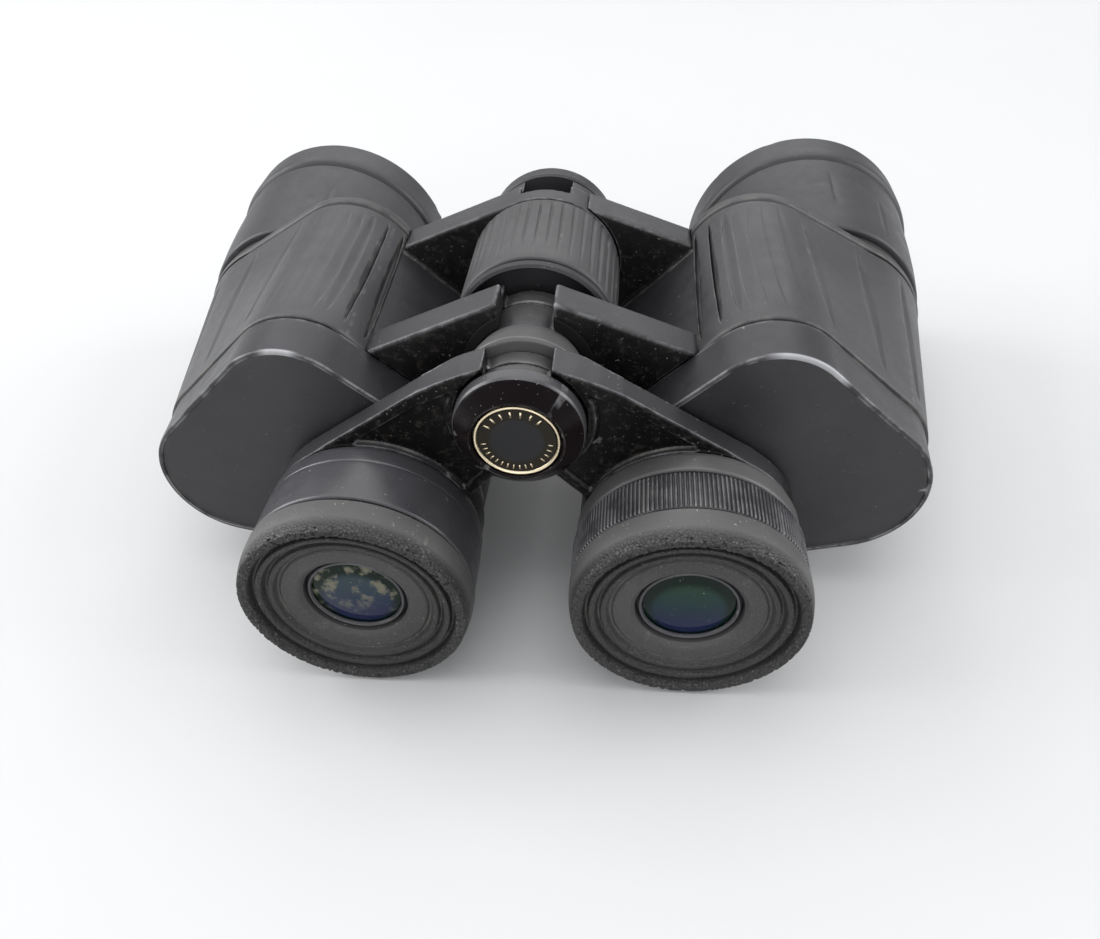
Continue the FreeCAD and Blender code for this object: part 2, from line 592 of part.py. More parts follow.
def front_hinge_cap():
    """Domed cap over the front knuckle, bored for the tripod insert."""
    return turned([(INSERT_R, CAP_Y0), (14.2, CAP_Y0), (14.5, 92.0), (14.5, 94.6), (12.2, CAP_Y1, -0.6),
                   (INSERT_R, CAP_Y1)])


def tripod_insert():
    """Brass insert with a quarter-inch tapping, open towards the front."""
    return turned([(0, 86.0), (INSERT_R, 86.0), (INSERT_R, CAP_Y1), (3.6, CAP_Y1), (TAPPING_R, CAP_Y1 - 0.4),
                   (TAPPING_R, 87.4), (0, 87.4)])


def focus_wheel_core():
    """Plastic core: open recess at the rear for the knuckle, lip behind the rubber grip."""
    body = turned([(6.5, 53.4), (14.9, 53.4), (14.9, 49.2), (15.3, WHEEL_Y0), (15.9, WHEEL_Y0 + 0.3),
                   (16.1, 50.2), (15.7, 50.9), (14.9, 51.0), (14.9, WHEEL_Y1),
                   (13.2, WHEEL_Y1), (13.2, 56.4), (9.0, 56.4), (9.0, 76.0), (6.5, 76.0)])
    for i in range(6):
        rib = box(8.8, 13.4, 56.0, 75.0, -0.8, 0.8)
        rib.rotate(V(0, 0, 0), V(0, 1, 0), 60 * i)
        body = body.fuse(rib)
    return body


def focus_wheel_grip():
    grip = ribbed(WHEEL_R, 0.5, WHEEL_RIBS, 51.7, WHEEL_Y1 - 0.4)
    plain = turned([(14.9, 51.5), (15.7, 51.5), (15.7, WHEEL_Y1 - 0.1), (14.9, WHEEL_Y1 - 0.1)])
    return grip.fuse(plain).cut(cyl(14.9, 50, 77))


def focus_drive_sleeve():
    """Brass sleeve with the focusing thread; it turns with the wheel and screws on the rod."""
    return tube(6.5, ROD_R + RUN, 53.4, 76.0)


# ---------------------------------------------------------------- build every piece
os.makedirs("parts", exist_ok=True)
E = (EYE_X, EYE_Z)
P = (PRISM_X, PRISM_Z)
O = (OBJ_X, OBJ_Z)

save("right_body", right_body())
save("left_body", left_body())

both_sides = {
    "rear_cover": rear_cover(),
    "armour": right_armour(),
    "prism_shelf": prism_shelf(),
    "rear_prism": prism(O, P, SHELF_Y0, -1),
    "front_prism": prism(P, E, SHELF_Y1, 1),
    "prism_clips": Part.makeCompound([prism_clip(O, P, SHELF_Y0, -1), prism_clip(P, E, SHELF_Y1, 1)]),
    "objective_tube": objective_tube(),
    "objective_sleeve": objective_sleeve(),
    "objective_cell": objective_cell(),
    "objective_retainer": objective_retainer(),
    "objective_flint": objective_flint(),
    "objective_crown": objective_crown(),
    "eyepiece_guide": eyepiece_guide(),
}
for name, shape in both_sides.items():
    save("right_" + name, shape)
    save("left_" + name, mirrored(shape))

for side, x in (("left", -EYE_X), ("right", EYE_X)):
    save(side + "_ocular_barrel", ocular_barrel(x))
    save(side + "_eyecup", eyecup(x))
    save(side + "_eye_cell", eye_cell(x))
    save(side + "_lens_retainer", lens_retainer(x))
    save(side + "_eye_lens", eye_lens(x))
    save(side + "_field_lens", field_lens(x))
    save(side + "_field_stop", field_stop(x))

singles = {
    "dioptre_ring": dioptre_ring,
    "right_collar_ring": right_collar_ring,
    "left_collar_sleeve": left_collar_sleeve,
    "right_bridge_arm": right_bridge_arm,
    "left_bridge_arm": left_bridge_arm,
    "focus_rod": focus_rod,
    "bridge_bell": bridge_bell,
    "bridge_end_cap": bridge_end_cap,
    "medallion_ring": medallion_ring,
    "medallion_disc": medallion_disc,
    "rear_hinge_bush": rear_hinge_bush,
    "rear_hinge_washer": rear_hinge_washer,
    "front_hinge_pin": front_hinge_pin,
    "front_hinge_cap": front_hinge_cap,
    "tripod_insert": tripod_insert,
    "focus_wheel_core": focus_wheel_core,
    "focus_wheel_grip": focus_wheel_grip,
    "focus_drive_sleeve": focus_drive_sleeve,
}
for name, build in singles.items():
    save(name, build())
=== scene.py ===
# Binoculars on a pale table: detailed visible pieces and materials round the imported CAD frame.
# Meshes are built in the row frame in metres; the outlines below are in millimetres about the hinge axis,
# with Y measured forwards from the eyecup faces.
import math

import bmesh
import bpy
import numpy as np
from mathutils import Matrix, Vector, noise


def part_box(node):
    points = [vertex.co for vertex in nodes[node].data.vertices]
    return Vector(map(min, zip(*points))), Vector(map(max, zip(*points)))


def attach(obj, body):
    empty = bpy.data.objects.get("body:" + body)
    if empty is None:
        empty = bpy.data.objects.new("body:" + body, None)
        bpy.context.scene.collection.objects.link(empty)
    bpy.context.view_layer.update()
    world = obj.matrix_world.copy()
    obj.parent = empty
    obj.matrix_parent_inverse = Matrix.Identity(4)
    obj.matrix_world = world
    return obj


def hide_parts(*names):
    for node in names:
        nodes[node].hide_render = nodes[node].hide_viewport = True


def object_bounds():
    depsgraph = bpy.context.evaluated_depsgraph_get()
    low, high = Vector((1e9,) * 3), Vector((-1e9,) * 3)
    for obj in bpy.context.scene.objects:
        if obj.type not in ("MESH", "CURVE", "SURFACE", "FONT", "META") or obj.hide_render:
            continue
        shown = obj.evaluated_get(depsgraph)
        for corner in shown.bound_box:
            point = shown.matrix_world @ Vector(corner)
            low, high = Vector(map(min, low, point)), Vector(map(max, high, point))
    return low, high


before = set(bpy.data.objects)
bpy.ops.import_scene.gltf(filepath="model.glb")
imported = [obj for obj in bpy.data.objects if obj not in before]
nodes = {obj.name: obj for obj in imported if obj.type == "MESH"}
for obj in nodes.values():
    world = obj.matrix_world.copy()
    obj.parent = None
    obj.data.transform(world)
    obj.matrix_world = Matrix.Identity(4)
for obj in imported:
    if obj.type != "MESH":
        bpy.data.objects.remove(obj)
cad_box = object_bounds()
scene = bpy.context.scene


def centre(node):
    lo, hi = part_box(node)
    return (lo + hi) / 2


HINGE = centre("focus_rod")                # the hinge axis, in X and Z
EYE = centre("right_eyecup")
OBJ = centre("right_objective_sleeve")
REAR_Y = cad_box[0].y                      # Y of the eyecup faces
EYE_X, EYE_Z = (EYE.x - HINGE.x) * 1000, (EYE.z - HINGE.z) * 1000
OBJ_X, OBJ_Z = (OBJ.x - HINGE.x) * 1000, (OBJ.z - HINGE.z) * 1000


def row(points):
    """Millimetres about the hinge axis to the row frame, for an (n, 3) array."""
    return np.asarray(points, float) / 1000 + np.array([HINGE.x, REAR_Y, HINGE.z])


# ---------------------------------------------------------------- material building blocks
class Shader:
    """A node material in the making; every pattern lies in the piece's own coordinates, in metres."""

    def __init__(self, name):
        self.material = bpy.data.materials.new(name)
        self.material.use_nodes = True
        self.nodes = self.material.node_tree.nodes
        self.links = self.material.node_tree.links
        self.surface = self.nodes["Principled BSDF"]
        place = self.nodes.new("ShaderNodeTexCoord")
        self.coords = place.outputs["Object"]
        self.normal = place.outputs["Normal"]

    def set(self, socket, value):
        """Link a node output, or a constant, to one of the surface's own sockets."""
        if isinstance(value, (int, float)):
            self.surface.inputs[socket].default_value = value
        else:
            self.links.new(value, self.surface.inputs[socket])

    def xyz(self, vector):
        split = self.nodes.new("ShaderNodeSeparateXYZ")
        self.links.new(vector, split.inputs["Vector"])
        return split.outputs["X"], split.outputs["Y"], split.outputs["Z"]

    def noise(self, scale, detail=2.0, rough=0.5, stretch=None, turn=(0.0, 0.0, 0.0)):
        tex = self.nodes.new("ShaderNodeTexNoise")
        tex.inputs["Scale"].default_value = scale
        tex.inputs["Detail"].default_value = detail
        tex.inputs["Roughness"].default_value = rough
        coords = self.coords
        if stretch:
            mapping = self.nodes.new("ShaderNodeMapping")
            mapping.inputs["Scale"].default_value = stretch
            mapping.inputs["Rotation"].default_value = turn
            self.links.new(coords, mapping.inputs["Vector"])
            coords = mapping.outputs["Vector"]
        self.links.new(coords, tex.inputs["Vector"])
        return tex.outputs["Fac"]

    def remap(self, value, lo, hi, to_lo=0.0, to_hi=1.0, smooth=False):
        r = self.nodes.new("ShaderNodeMapRange")
        r.interpolation_type = "SMOOTHSTEP" if smooth else "LINEAR"
        for socket, v in zip(("From Min", "From Max", "To Min", "To Max"), (lo, hi, to_lo, to_hi)):
            r.inputs[socket].default_value = v
        self.links.new(value, r.inputs["Value"])
        return r.outputs["Result"]

    def maths(self, op, *values):
        m = self.nodes.new("ShaderNodeMath")
        m.operation = op
        m.use_clamp = op == "ADD"
        for i, v in enumerate(values):
            if isinstance(v, (int, float)):
                m.inputs[i].default_value = v
            else:
                self.links.new(v, m.inputs[i])
        return m.outputs[0]

    def add(self, a, b):
        return self.maths("ADD", a, b)

    def minus(self, a, b):
        return self.maths("SUBTRACT", a, b)

    def times(self, *factors):
        product = factors[0]
        for factor in factors[1:]:
            product = self.maths("MULTIPLY", product, factor)
        return product

    def mix(self, share, a, b):
        """Colour mix; a and b are sockets or colours."""
        m = self.nodes.new("ShaderNodeMix")
        m.data_type = "RGBA"
        self.links.new(share, m.inputs[0])
        for v, socket in ((a, 6), (b, 7)):
            if isinstance(v, tuple):
                m.inputs[socket].default_value = (*v, 1.0)
            else:
                self.links.new(v, m.inputs[socket])
        return m.outputs[2]

    def from_axis(self, x, z):
        """Distance from the line along Y through x, z."""
        px, _, pz = self.xyz(self.coords)
        dx = self.minus(px, x)
        dz = self.minus(pz, z)
        return self.maths("SQRT", self.add(self.times(dx, dx), self.times(dz, dz)))

    def bump(self, height, strength, distance):
        b = self.nodes.new("ShaderNodeBump")
        b.inputs["Strength"].default_value = strength
        b.inputs["Distance"].default_value = distance
        self.links.new(height, b.inputs["Height"])
        self.links.new(b.outputs["Normal"], self.surface.inputs["Normal"])


# ---------------------------------------------------------------- layers of a black finish
def dirt_in_hollows(s, base, point, mottle, dirt):
    """Brownish dirt that settles in the hollows."""
    hollow = s.remap(point, 0.497, 0.47)
    patchy = s.remap(mottle, 0.42, 0.62)
    return s.mix(s.times(hollow, patchy, dirt), base, (0.16, 0.145, 0.125))


def shaded_gritty_sides(s, base, patches, colour, side_shade_and_grit):
    """Faces that do not look up: darkened with painted shade, gritty and with more dust specks."""
    facing = s.xyz(s.normal)[2]
    shade = s.remap(facing, 0.75, 0.35, 0.0, side_shade_and_grit, smooth=True)
    # painted shade: faces turned away from the top are mixed towards a darker copy of the colour
    base = s.mix(shade, base, tuple(c * 0.2 for c in colour))
    grit = s.remap(s.noise(620.0, 4.0, 0.7), 0.53, 0.68)
    base = s.mix(s.times(grit, shade, 0.28), base, (0.085, 0.074, 0.060))
    return base, s.add(patches, s.times(shade, 0.035))


def dusty_knuckle(s, base, mottle):
    """Grey dust caked on the knuckles round the hinge axis, drawn out in fine rings."""
    y = s.xyz(s.coords)[1]
    ahead = s.remap(y, REAR_Y + 0.0398, REAR_Y + 0.0412)
    behind = s.remap(y, REAR_Y + 0.0300, REAR_Y + 0.0290)
    near = s.remap(s.from_axis(HINGE.x, HINGE.z), 0.0104, 0.0101)
    rings = s.noise(900.0, 3.0, 0.65, (0.12, 1.0, 0.12))
    cover = s.remap(s.add(s.times(rings, 0.6), s.times(mottle, 0.4)), 0.36, 0.62, 0.15, 0.85)
    caked = s.times(near, s.add(ahead, behind), cover)
    return s.mix(caked, base, (0.052, 0.050, 0.047)), caked


def dust_specks(s, base, patches, dust):
    """Pale specks, thicker where the patches are."""
    speck = s.noise(1900.0, 1.0, 0.4)
    over = s.minus(speck, s.minus(0.765, patches))
    dots = s.times(s.remap(over, 0.0, 0.03), min(1.0, dust * 1.2))
    return s.mix(dots, base, (0.26, 0.25, 0.235)), dots


def scratched(s, base, scuff):
    """Thin straight scratches in some places."""
    warp = s.noise(55.0, 2.0, 0.5, (1.0, 9.0, 9.0), (0.35, 0.6, 0.9))
    line = s.maths("ABSOLUTE", s.minus(warp, 0.5))
    thin = s.remap(line, 0.0, 0.0035, 1.0, 0.0)
    where = s.remap(s.noise(90.0, 1.0), 0.58, 0.66)
    return s.mix(s.times(thin, where, 0.35 * scuff), base, (0.22, 0.22, 0.22))


def worn_edges(s, point, mottle, wear, marks):
    """Mask of the edges rubbed through, with every edge near a mark rubbed further."""
    worn = s.times(s.remap(point, 0.515, 0.56), s.remap(mottle, 0.42, 0.58, 0.0, wear))
    for x, y, z, reach in marks:
        spot = s.nodes.new("ShaderNodeVectorMath")
        spot.operation = "DISTANCE"
        s.links.new(s.coords, spot.inputs[0])
        spot.inputs[1].default_value = tuple(row([(x, y, z)])[0])
        near = s.remap(spot.outputs["Value"], reach / 1000, reach / 2000)
        crest = s.times(s.remap(point, 0.503, 0.52), near)
        worn = s.maths("MAXIMUM", worn, crest)
    return worn


def cracked_lip(s, base, height, cracks):
    """Rearmost edge of the rubber: darker over its last few millimetres, crazed and pitted like perished
    rubber, with pale flecks.
    """
    y = s.xyz(s.coords)[1]
    rearmost = s.remap(y, REAR_Y + 0.0030, REAR_Y + 0.0010, 0.12, 1.0)
    cells = s.nodes.new("ShaderNodeTexVoronoi")
    cells.feature = "DISTANCE_TO_EDGE"
    cells.inputs["Scale"].default_value = 1500.0
    s.links.new(s.coords, cells.inputs["Vector"])
    seam = cells.outputs["Distance"]
    height = s.add(height, s.times(s.remap(seam, 0.0, 0.12), cracks))
    height = s.times(height, rearmost)
    sunk = s.remap(y, REAR_Y + 0.0032, REAR_Y + 0.0014, 0.0, 0.72)
    base = s.mix(sunk, base, (0.006, 0.005, 0.005))
    pitted = s.times(s.remap(seam, 0.10, 0.0), rearmost, 0.7)
    base = s.mix(pitted, base, (0.003, 0.002, 0.002))
    flecks = s.remap(s.noise(1300.0, 2.0, 0.6), 0.66, 0.72)
    on_lip = s.remap(y, REAR_Y + 0.0013, REAR_Y + 0.0008)
    return s.mix(s.times(flecks, on_lip, 0.8), base, (0.16, 0.15, 0.14)), height


def black_finish(name, colour, rough, grain=1500.0, bump=0.2, dust=0.3, wear=0.0,
                 wear_colour=(0.32, 0.32, 0.33), scuff=0.5, cracks=0.0, specular=0.5, dirt=0.35,
                 side_shade_and_grit=0.0, marks=()):
    """A black moulded, painted or rubber surface with fine grain, scuffs, dust specks and worn edges.
    the side shade strength darkens the faces that do not look up with painted shade and speckles them with
    grit; marks are worn places (x, y, z, reach)."""
    s = Shader(name)
    broad = s.noise(38.0, 3.0)
    mottle = s.noise(260.0, 4.0, 0.6)
    fine = s.noise(grain, 3.0, 0.6)
    point = s.nodes.new("ShaderNodeNewGeometry").outputs["Pointiness"]
    lighter = tuple(min(1.0, c * 1.75 + 0.006) for c in colour)
    base = s.mix(s.remap(broad, 0.3, 0.72), colour, lighter)
    base = dirt_in_hollows(s, base, point, mottle, dirt)
    patches = s.remap(broad, 0.62, 0.38, 0.0, 0.05 * dust)
    height = s.add(s.times(mottle, 0.35), s.times(fine, 0.5))
    # painted shade and grit on the faces that do not look up, and dust caked on the knuckles
    if side_shade_and_grit > 0:
        base, patches = shaded_gritty_sides(s, base, patches, colour, side_shade_and_grit)
        base, caked = dusty_knuckle(s, base, mottle)
        height = s.add(height, s.times(caked, 0.6))
    base, dots = dust_specks(s, base, patches, dust)
    roughness = s.remap(mottle, 0.25, 0.75, rough - 0.06, rough + 0.08)
    roughness = s.add(roughness, s.times(dots, 0.3))
    if scuff > 0:
        base = scratched(s, base, scuff)
    if wear > 0:
        worn = worn_edges(s, point, mottle, wear, marks)
        base = s.mix(worn, base, wear_colour)
        roughness = s.minus(roughness, s.times(worn, 0.15))
    if cracks > 0:
        base, height = cracked_lip(s, base, height, cracks)
    s.set("Base Color", base)
    s.set("Roughness", roughness)
    s.set("Specular IOR Level", specular)
    s.bump(height, bump, 0.00025)
    return s.material


# ---------------------------------------------------------------- metal, glass, badge and table
def metal_finish(name, colour, rough, brushed=0.25, tarnish=0.3):
    """Bare metal brushed round its axis, with darker tarnished patches."""
    s = Shader(name)
    streak = s.noise(600.0, 2.0, 0.5, (1.0, 0.06, 1.0))
    patch = s.noise(180.0, 3.0)
    mask = s.times(s.remap(patch, 0.5, 0.72), tarnish)
    s.set("Base Color", s.mix(mask, colour, tuple(c * 0.45 for c in colour)))
    s.set("Metallic", 1.0)
    s.set("Roughness", s.remap(streak, 0.3, 0.7, rough - 0.08, rough + 0.1))
    s.bump(streak, brushed, 0.00005)
    return s.material


def glass_finish(name, tint, rough=0.02):
    """Clear glass with a little haze."""
    s = Shader(name)
    haze = s.noise(420.0, 4.0, 0.65)
    s.set("Roughness", s.remap(haze, 0.45, 0.8, rough, rough + 0.1))
    s.set("Base Color", s.mix(s.remap(haze, 0.3, 0.7), tint, tuple(c * 0.85 for c in tint)))
    s.set("Transmission Weight", 1.0)
    s.set("IOR", 1.56)
    return s.material


def coated_eye_lens(name, centre_x, top, bottom, hazy_reflection):
    """Coated glass over the dark inside of the eyepiece, its look painted in: a painted reflection from the
    top colour down to the bottom colour, painted shade in a dark ring at the edge, and patchy haze deposits
    on the upper part coloured as a painted reflection.
    """
    s = Shader(name)
    z = s.xyz(s.coords)[2]
    # painted reflection: the top colour above, the bottom colour below
    colour = s.mix(s.remap(z, EYE.z - 0.0075, EYE.z + 0.0065, smooth=True), bottom, top)
    # painted shade: a dark ring round the edge, centred a little below the lens axis
    reach = s.from_axis(centre_x, EYE.z - 0.0012)
    colour = s.mix(s.remap(reach, 0.0058, 0.0076, smooth=True), colour, (0.002, 0.010, 0.006))
    haze = s.noise(330.0, 5.0, 0.62)
    if hazy_reflection > 0:
        # hazy deposits coloured as a painted reflection, on the upper part only
        cloud = s.times(s.remap(haze, 0.5, 0.62, smooth=True), hazy_reflection)
        upper = s.remap(z, EYE.z - 0.006, EYE.z + 0.002)
        colour = s.mix(s.times(cloud, upper), colour, (0.17, 0.16, 0.115))
    speck = s.noise(1500.0, 1.0)
    s.set("Base Color", s.mix(s.remap(speck, 0.74, 0.78, 0.0, 0.5), colour, (0.3, 0.33, 0.3)))
    s.set("Roughness", s.remap(haze, 0.4, 0.8, 0.03, 0.14))
    s.set("Transmission Weight", 0.1)
    s.set("IOR", 1.27)
    return s.material


def badge_finish(name):
    """Grey centre and brown-black border."""
    s = Shader(name)
    mottle = s.noise(500.0, 3.0)
    grey = s.mix(mottle, (0.012, 0.012, 0.013), (0.018, 0.018, 0.019))
    border = s.mix(mottle, (0.007, 0.005, 0.002), (0.016, 0.011, 0.005))
    reach = s.from_axis(HINGE.x, HINGE.z)
    s.set("Base Color", s.mix(s.remap(reach, 0.0046, 0.0049), grey, border))
    s.set("Roughness", s.remap(mottle, 0.3, 0.7, 0.36, 0.46))
    s.set("Specular IOR Level", 0.22)
    return s.material


def table_finish(name):
    """Pale board with faint broad cloudiness."""
    s = Shader(name)
    s.set("Base Color", s.mix(s.noise(6.0, 3.0), (0.525, 0.525, 0.52), (0.55, 0.55, 0.55)))
    s.set("Roughness", 0.55)
    s.set("Specular IOR Level", 0.25)
    return s.material


# rubbed places on the covers' edges: x, y, z and reach in millimetres
COVER_MARKS = [
    (48.6, 28.5, 8.6, 7.0),
    (53.5, 28.6, 6.6, 5.0),
    (27.2, 30.0, 1.0, 1.6),
    (-44.0, 28.5, 9.6, 4.0),
]
M = {
    "casting": black_finish(
        "satin_black_casting", (0.018, 0.017, 0.019), 0.40, grain=2200.0, bump=0.12, dust=0.4, wear=0.5,
        dirt=0.7, side_shade_and_grit=1.0),
    # darker copy of the casting paint with weaker reflection: painted shade for the bridge arms' rear-facing
    # faces
    "shadowed": black_finish(
        "satin_black_casting_painted_shade", (0.010, 0.009, 0.010), 0.44, grain=2200.0, bump=0.12, dust=0.4,
        wear=0.3, dirt=0.6, side_shade_and_grit=1.0, specular=0.18),
    "cover": black_finish(
        "satin_black_paint", (0.012, 0.011, 0.013), 0.42, grain=2600.0, bump=0.10, dust=0.2, wear=0.8,
        scuff=0.8, marks=COVER_MARKS),
    "armour": black_finish(
        "armour_rubber", (0.024, 0.023, 0.025), 0.46, grain=1700.0, bump=0.22, dust=0.35, wear=0.15,
        scuff=0.3),
    "sleeve": black_finish(
        "sleeve_rubber", (0.018, 0.017, 0.019), 0.46, grain=1700.0, bump=0.22, dust=0.30, wear=0.15,
        scuff=0.5),
    "grip": black_finish(
        "grip_rubber", (0.030, 0.029, 0.030), 0.48, grain=1300.0, bump=0.35, dust=0.55, wear=0.2,
        scuff=0.0, dirt=0.15),
    "eyecup": black_finish(
        "aged_eyecup_rubber", (0.045, 0.043, 0.042), 0.50, grain=1100.0, bump=0.8, dust=0.9, wear=0.45,
        wear_colour=(0.17, 0.16, 0.15), scuff=0.2, cracks=0.8, dirt=0.75),
    "plastic": black_finish(
        "black_plastic", (0.026, 0.025, 0.028), 0.32, grain=2000.0, bump=0.10, dust=0.6, wear=0.3,
        dirt=0.5, specular=0.65),
    "turned": black_finish(
        "turned_black_plastic", (0.022, 0.021, 0.023), 0.40, grain=2000.0, bump=0.10, dust=0.6,
        dirt=0.0, specular=0.3),
    "bell": black_finish(
        "bell_paint", (0.056, 0.055, 0.055), 0.36, grain=2000.0, bump=0.10, dust=0.4, dirt=0.0),
    "washer": black_finish(
        "rubber_washer", (0.004, 0.004, 0.004), 0.6, grain=1800.0, bump=0.10, dust=0.1, scuff=0.0,
        dirt=0.0, specular=0.15),
    "gloss": black_finish(
        "gloss_black_cap", (0.0022, 0.0008, 0.0010), 0.20, grain=900.0, bump=0.03, dust=0.30, wear=0.3,
        scuff=0.0, specular=0.09),
    "inner": black_finish(
        "blackened_inner_metal", (0.006, 0.006, 0.006), 0.62, grain=1800.0, bump=0.15, dust=0.15,
        scuff=0.0, dirt=0.0),
    "badge": badge_finish("badge_face"),
    "steel": metal_finish("steel", (0.55, 0.55, 0.56), 0.32),
    "brass": metal_finish("brass", (0.72, 0.56, 0.28), 0.30),
    "gold": metal_finish("gold_ring_metal", (0.92, 0.79, 0.56), 0.30, brushed=0.1, tarnish=0.35),
    "prism": glass_finish("prism_glass", (0.93, 0.97, 0.95)),
    "objective": glass_finish("objective_glass", (0.86, 0.94, 0.97)),
    # eye lenses: top and bottom colours of the painted reflection, and the share of hazy deposits coloured as
    # a painted reflection
    "lens_right": coated_eye_lens(
        "coated_eye_lens_right", EYE.x, (0.016, 0.045, 0.028), (0.006, 0.010, 0.050), 0.0),
    "lens_left": coated_eye_lens(
        "coated_eye_lens_left", -EYE.x, (0.03, 0.05, 0.06), (0.008, 0.012, 0.05), 0.9),
    "table": table_finish("white_board"),
}

# finish of every CAD node, by its whole name or by its name without left_ or right_
FINISHED_NODES = {
    "casting": ["body", "bridge_arm"],
    "cover": ["rear_cover"],
    "armour": ["armour"],
    "sleeve": ["objective_sleeve"],
    "grip": ["focus_wheel_grip"],
    "eyecup": ["eyecup"],
    "plastic": ["ocular_barrel", "collar_ring", "collar_sleeve", "dioptre_ring"],
    "turned": ["front_hinge_cap", "focus_wheel_core"],
    "bell": ["bridge_bell"],
    "washer": ["rear_hinge_washer"],
    "gloss": ["lens_retainer", "bridge_end_cap"],
    "inner": ["prism_shelf", "objective_tube", "objective_cell", "objective_retainer", "eyepiece_guide",
              "eye_cell", "field_stop"],
    "badge": ["medallion_disc"],
    "steel": ["prism_clips", "focus_rod", "front_hinge_pin"],
    "brass": ["rear_hinge_bush", "tripod_insert", "focus_drive_sleeve"],
    "gold": ["medallion_ring"],
    "prism": ["rear_prism", "front_prism"],
    "objective": ["objective_flint", "objective_crown", "field_lens"],
}
FINISH_OF = {piece: finish for finish, pieces in FINISHED_NODES.items() for piece in pieces}
for node, obj in nodes.items():
    side, _, kind = node.partition("_")
    if kind == "eye_lens":
        finish = "lens_" + side
    else:
        finish = FINISH_OF.get(node) or FINISH_OF[kind]
    obj.data.materials.clear()
    obj.data.materials.append(M[finish])


# ---------------------------------------------------------------- mesh helpers
def add_mesh(name, verts_mm, faces, finish, body, stands_for, weighted=True):
    """New smooth piece that rides a body and stands for the listed CAD nodes."""
    mesh = bpy.data.meshes.new(name)
    mesh.from_pydata([tuple(v) for v in row(verts_mm)], [], faces)
    mesh.validate()
    mesh.polygons.foreach_set("use_smooth", [True] * len(mesh.polygons))
    mesh.materials.append(M[finish])
    obj = bpy.data.objects.new(name, mesh)
    scene.collection.objects.link(obj)
    bm = bmesh.new()
    bm.from_mesh(mesh)
    bmesh.ops.recalc_face_normals(bm, faces=bm.faces)
    bm.to_mesh(mesh)
    bm.free()
    if weighted:
        w = obj.modifiers.new("even_shading", "WEIGHTED_NORMAL")
        w.weight = 60
    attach(obj, body)
    if stands_for:
        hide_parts(*stands_for)
    return obj


def rounded(profile, step=0.6):
    """Closed (r, y) or (r, y, fillet) outline to a dense one: corners rounded, long runs divided."""
    count = len(profile)
    out = []
    for i in range(count):
        p = np.array(profile[i][:2], float)
        a = np.array(profile[i - 1][:2], float) - p
        b = np.array(profile[(i + 1) % count][:2], float) - p
        fillet = profile[i][2] if len(profile[i]) > 2 else 0.12
        la, lb = np.linalg.norm(a), np.linalg.norm(b)
        cut = min(fillet, la * 0.45, lb * 0.45)
        start, end = p + a / la * cut, p + b / lb * cut
        for t in (0.0, 0.25, 0.5, 0.75, 1.0):
            out.append((1 - t) ** 2 * start + 2 * t * (1 - t) * p + t * t * end)
    dense = []
    for i in range(len(out)):
        p, q = out[i], out[(i + 1) % len(out)]
        parts = max(1, int(np.linalg.norm(q - p) / step))
        for k in range(parts):
            dense.append(p + (q - p) * k / parts)
    return np.array(dense)


def lathe(profile, x, z, segments, shape=None, step=0.6):
    """Vertices and faces of a closed turned piece; shape(theta, r, y) returns a changed (r, y)."""
    line = rounded(profile, step)
    count = len(line)
    verts = []
    for s in range(segments):
        th = 2 * math.pi * s / segments
        for r, y in line:
            if shape:
                r, y = shape(th, r, y)
            verts.append((x + r * math.cos(th), y, z + r * math.sin(th)))
    faces = []
    for s in range(segments):
        a, b = s * count, ((s + 1) % segments) * count
        for k in range(count):
            j = (k + 1) % count
            faces.append((a + k, a + j, b + j, b + k))
    return verts, faces


def ease(t):
    """Smooth step from 0 to 1, level at both ends."""
    t = min(1.0, max(0.0, t))
    return t * t * (3 - 2 * t)


# ---------------------------------------------------------------- eyecups and eyepiece rings
# outlines are (radius, Y) or (radius, Y, fillet)
EYECUP_OUTLINE = [
    (9.7, 4.6), (9.75, 3.2, 0.1), (10.1, 2.75, 0.25), (10.6, 2.35, 0.3), (13.5, 2.2, 0.25),
    (14.0, 2.75, 0.25), (14.35, 2.6, 0.25), (14.8, 1.6, 0.35), (15.7, 1.45, 0.3), (16.05, 2.45, 0.25),
    (16.4, 2.3, 0.25), (16.9, 1.1, 0.35), (17.9, 0.95, 0.3), (18.2, 2.2, 0.25), (18.65, 2.1, 0.25),
    (19.2, 0.4, 0.3), (19.8, 0.04, 0.25), (20.8, 0.0, 0.08), (21.0, 0.28, 0.1), (21.3, 1.6, 0.5),
    (21.62, 3.4, 0.9), (21.7, 5.0, 0.5), (21.68, 6.85, 0.12), (21.35, 7.08, 0.12), (16.0, 7.1),
    (16.0, 5.2), (9.7, 5.2),
]
RETAINER_OUTLINE = [
    (8.36, 4.2), (8.36, 3.95, 0.1), (8.6, 3.55, 0.12), (8.85, 3.5, 0.1), (9.08, 3.7, 0.1),
    (9.1, 4.6, 0.05), (9.35, 4.7, 0.05), (9.38, 5.28), (8.66, 5.28), (8.66, 4.3),
]
DIOPTRE_OUTLINE = [
    (15.6, 7.45), (21.2, 7.45, 0.15), (21.6, 7.75, 0.2), (21.6, 15.7, 0.2), (21.3, 15.95, 0.2), (15.6, 15.95),
]
COLLAR_FRONT = [(21.1, 20.9, 0.3), (20.95, 21.2, 0.1), (20.9, 21.6, 0.2), (20.5, 21.84, 0.2), (15.5, 21.84)]
RIGHT_COLLAR_OUTLINE = [(15.5, 17.0), (20.7, 17.0, 0.25), (21.05, 17.4, 0.25)] + COLLAR_FRONT
LEFT_COLLAR_OUTLINE = [
    (15.5, 7.62), (21.1, 7.62, 0.2), (21.45, 8.0, 0.3), (21.4, 12.0), (21.3, 17.2, 0.15),
    (21.05, 17.45, 0.1), (21.05, 17.65, 0.1), (21.15, 17.9, 0.15),
] + COLLAR_FRONT
DIOPTRE_RIBS = 168


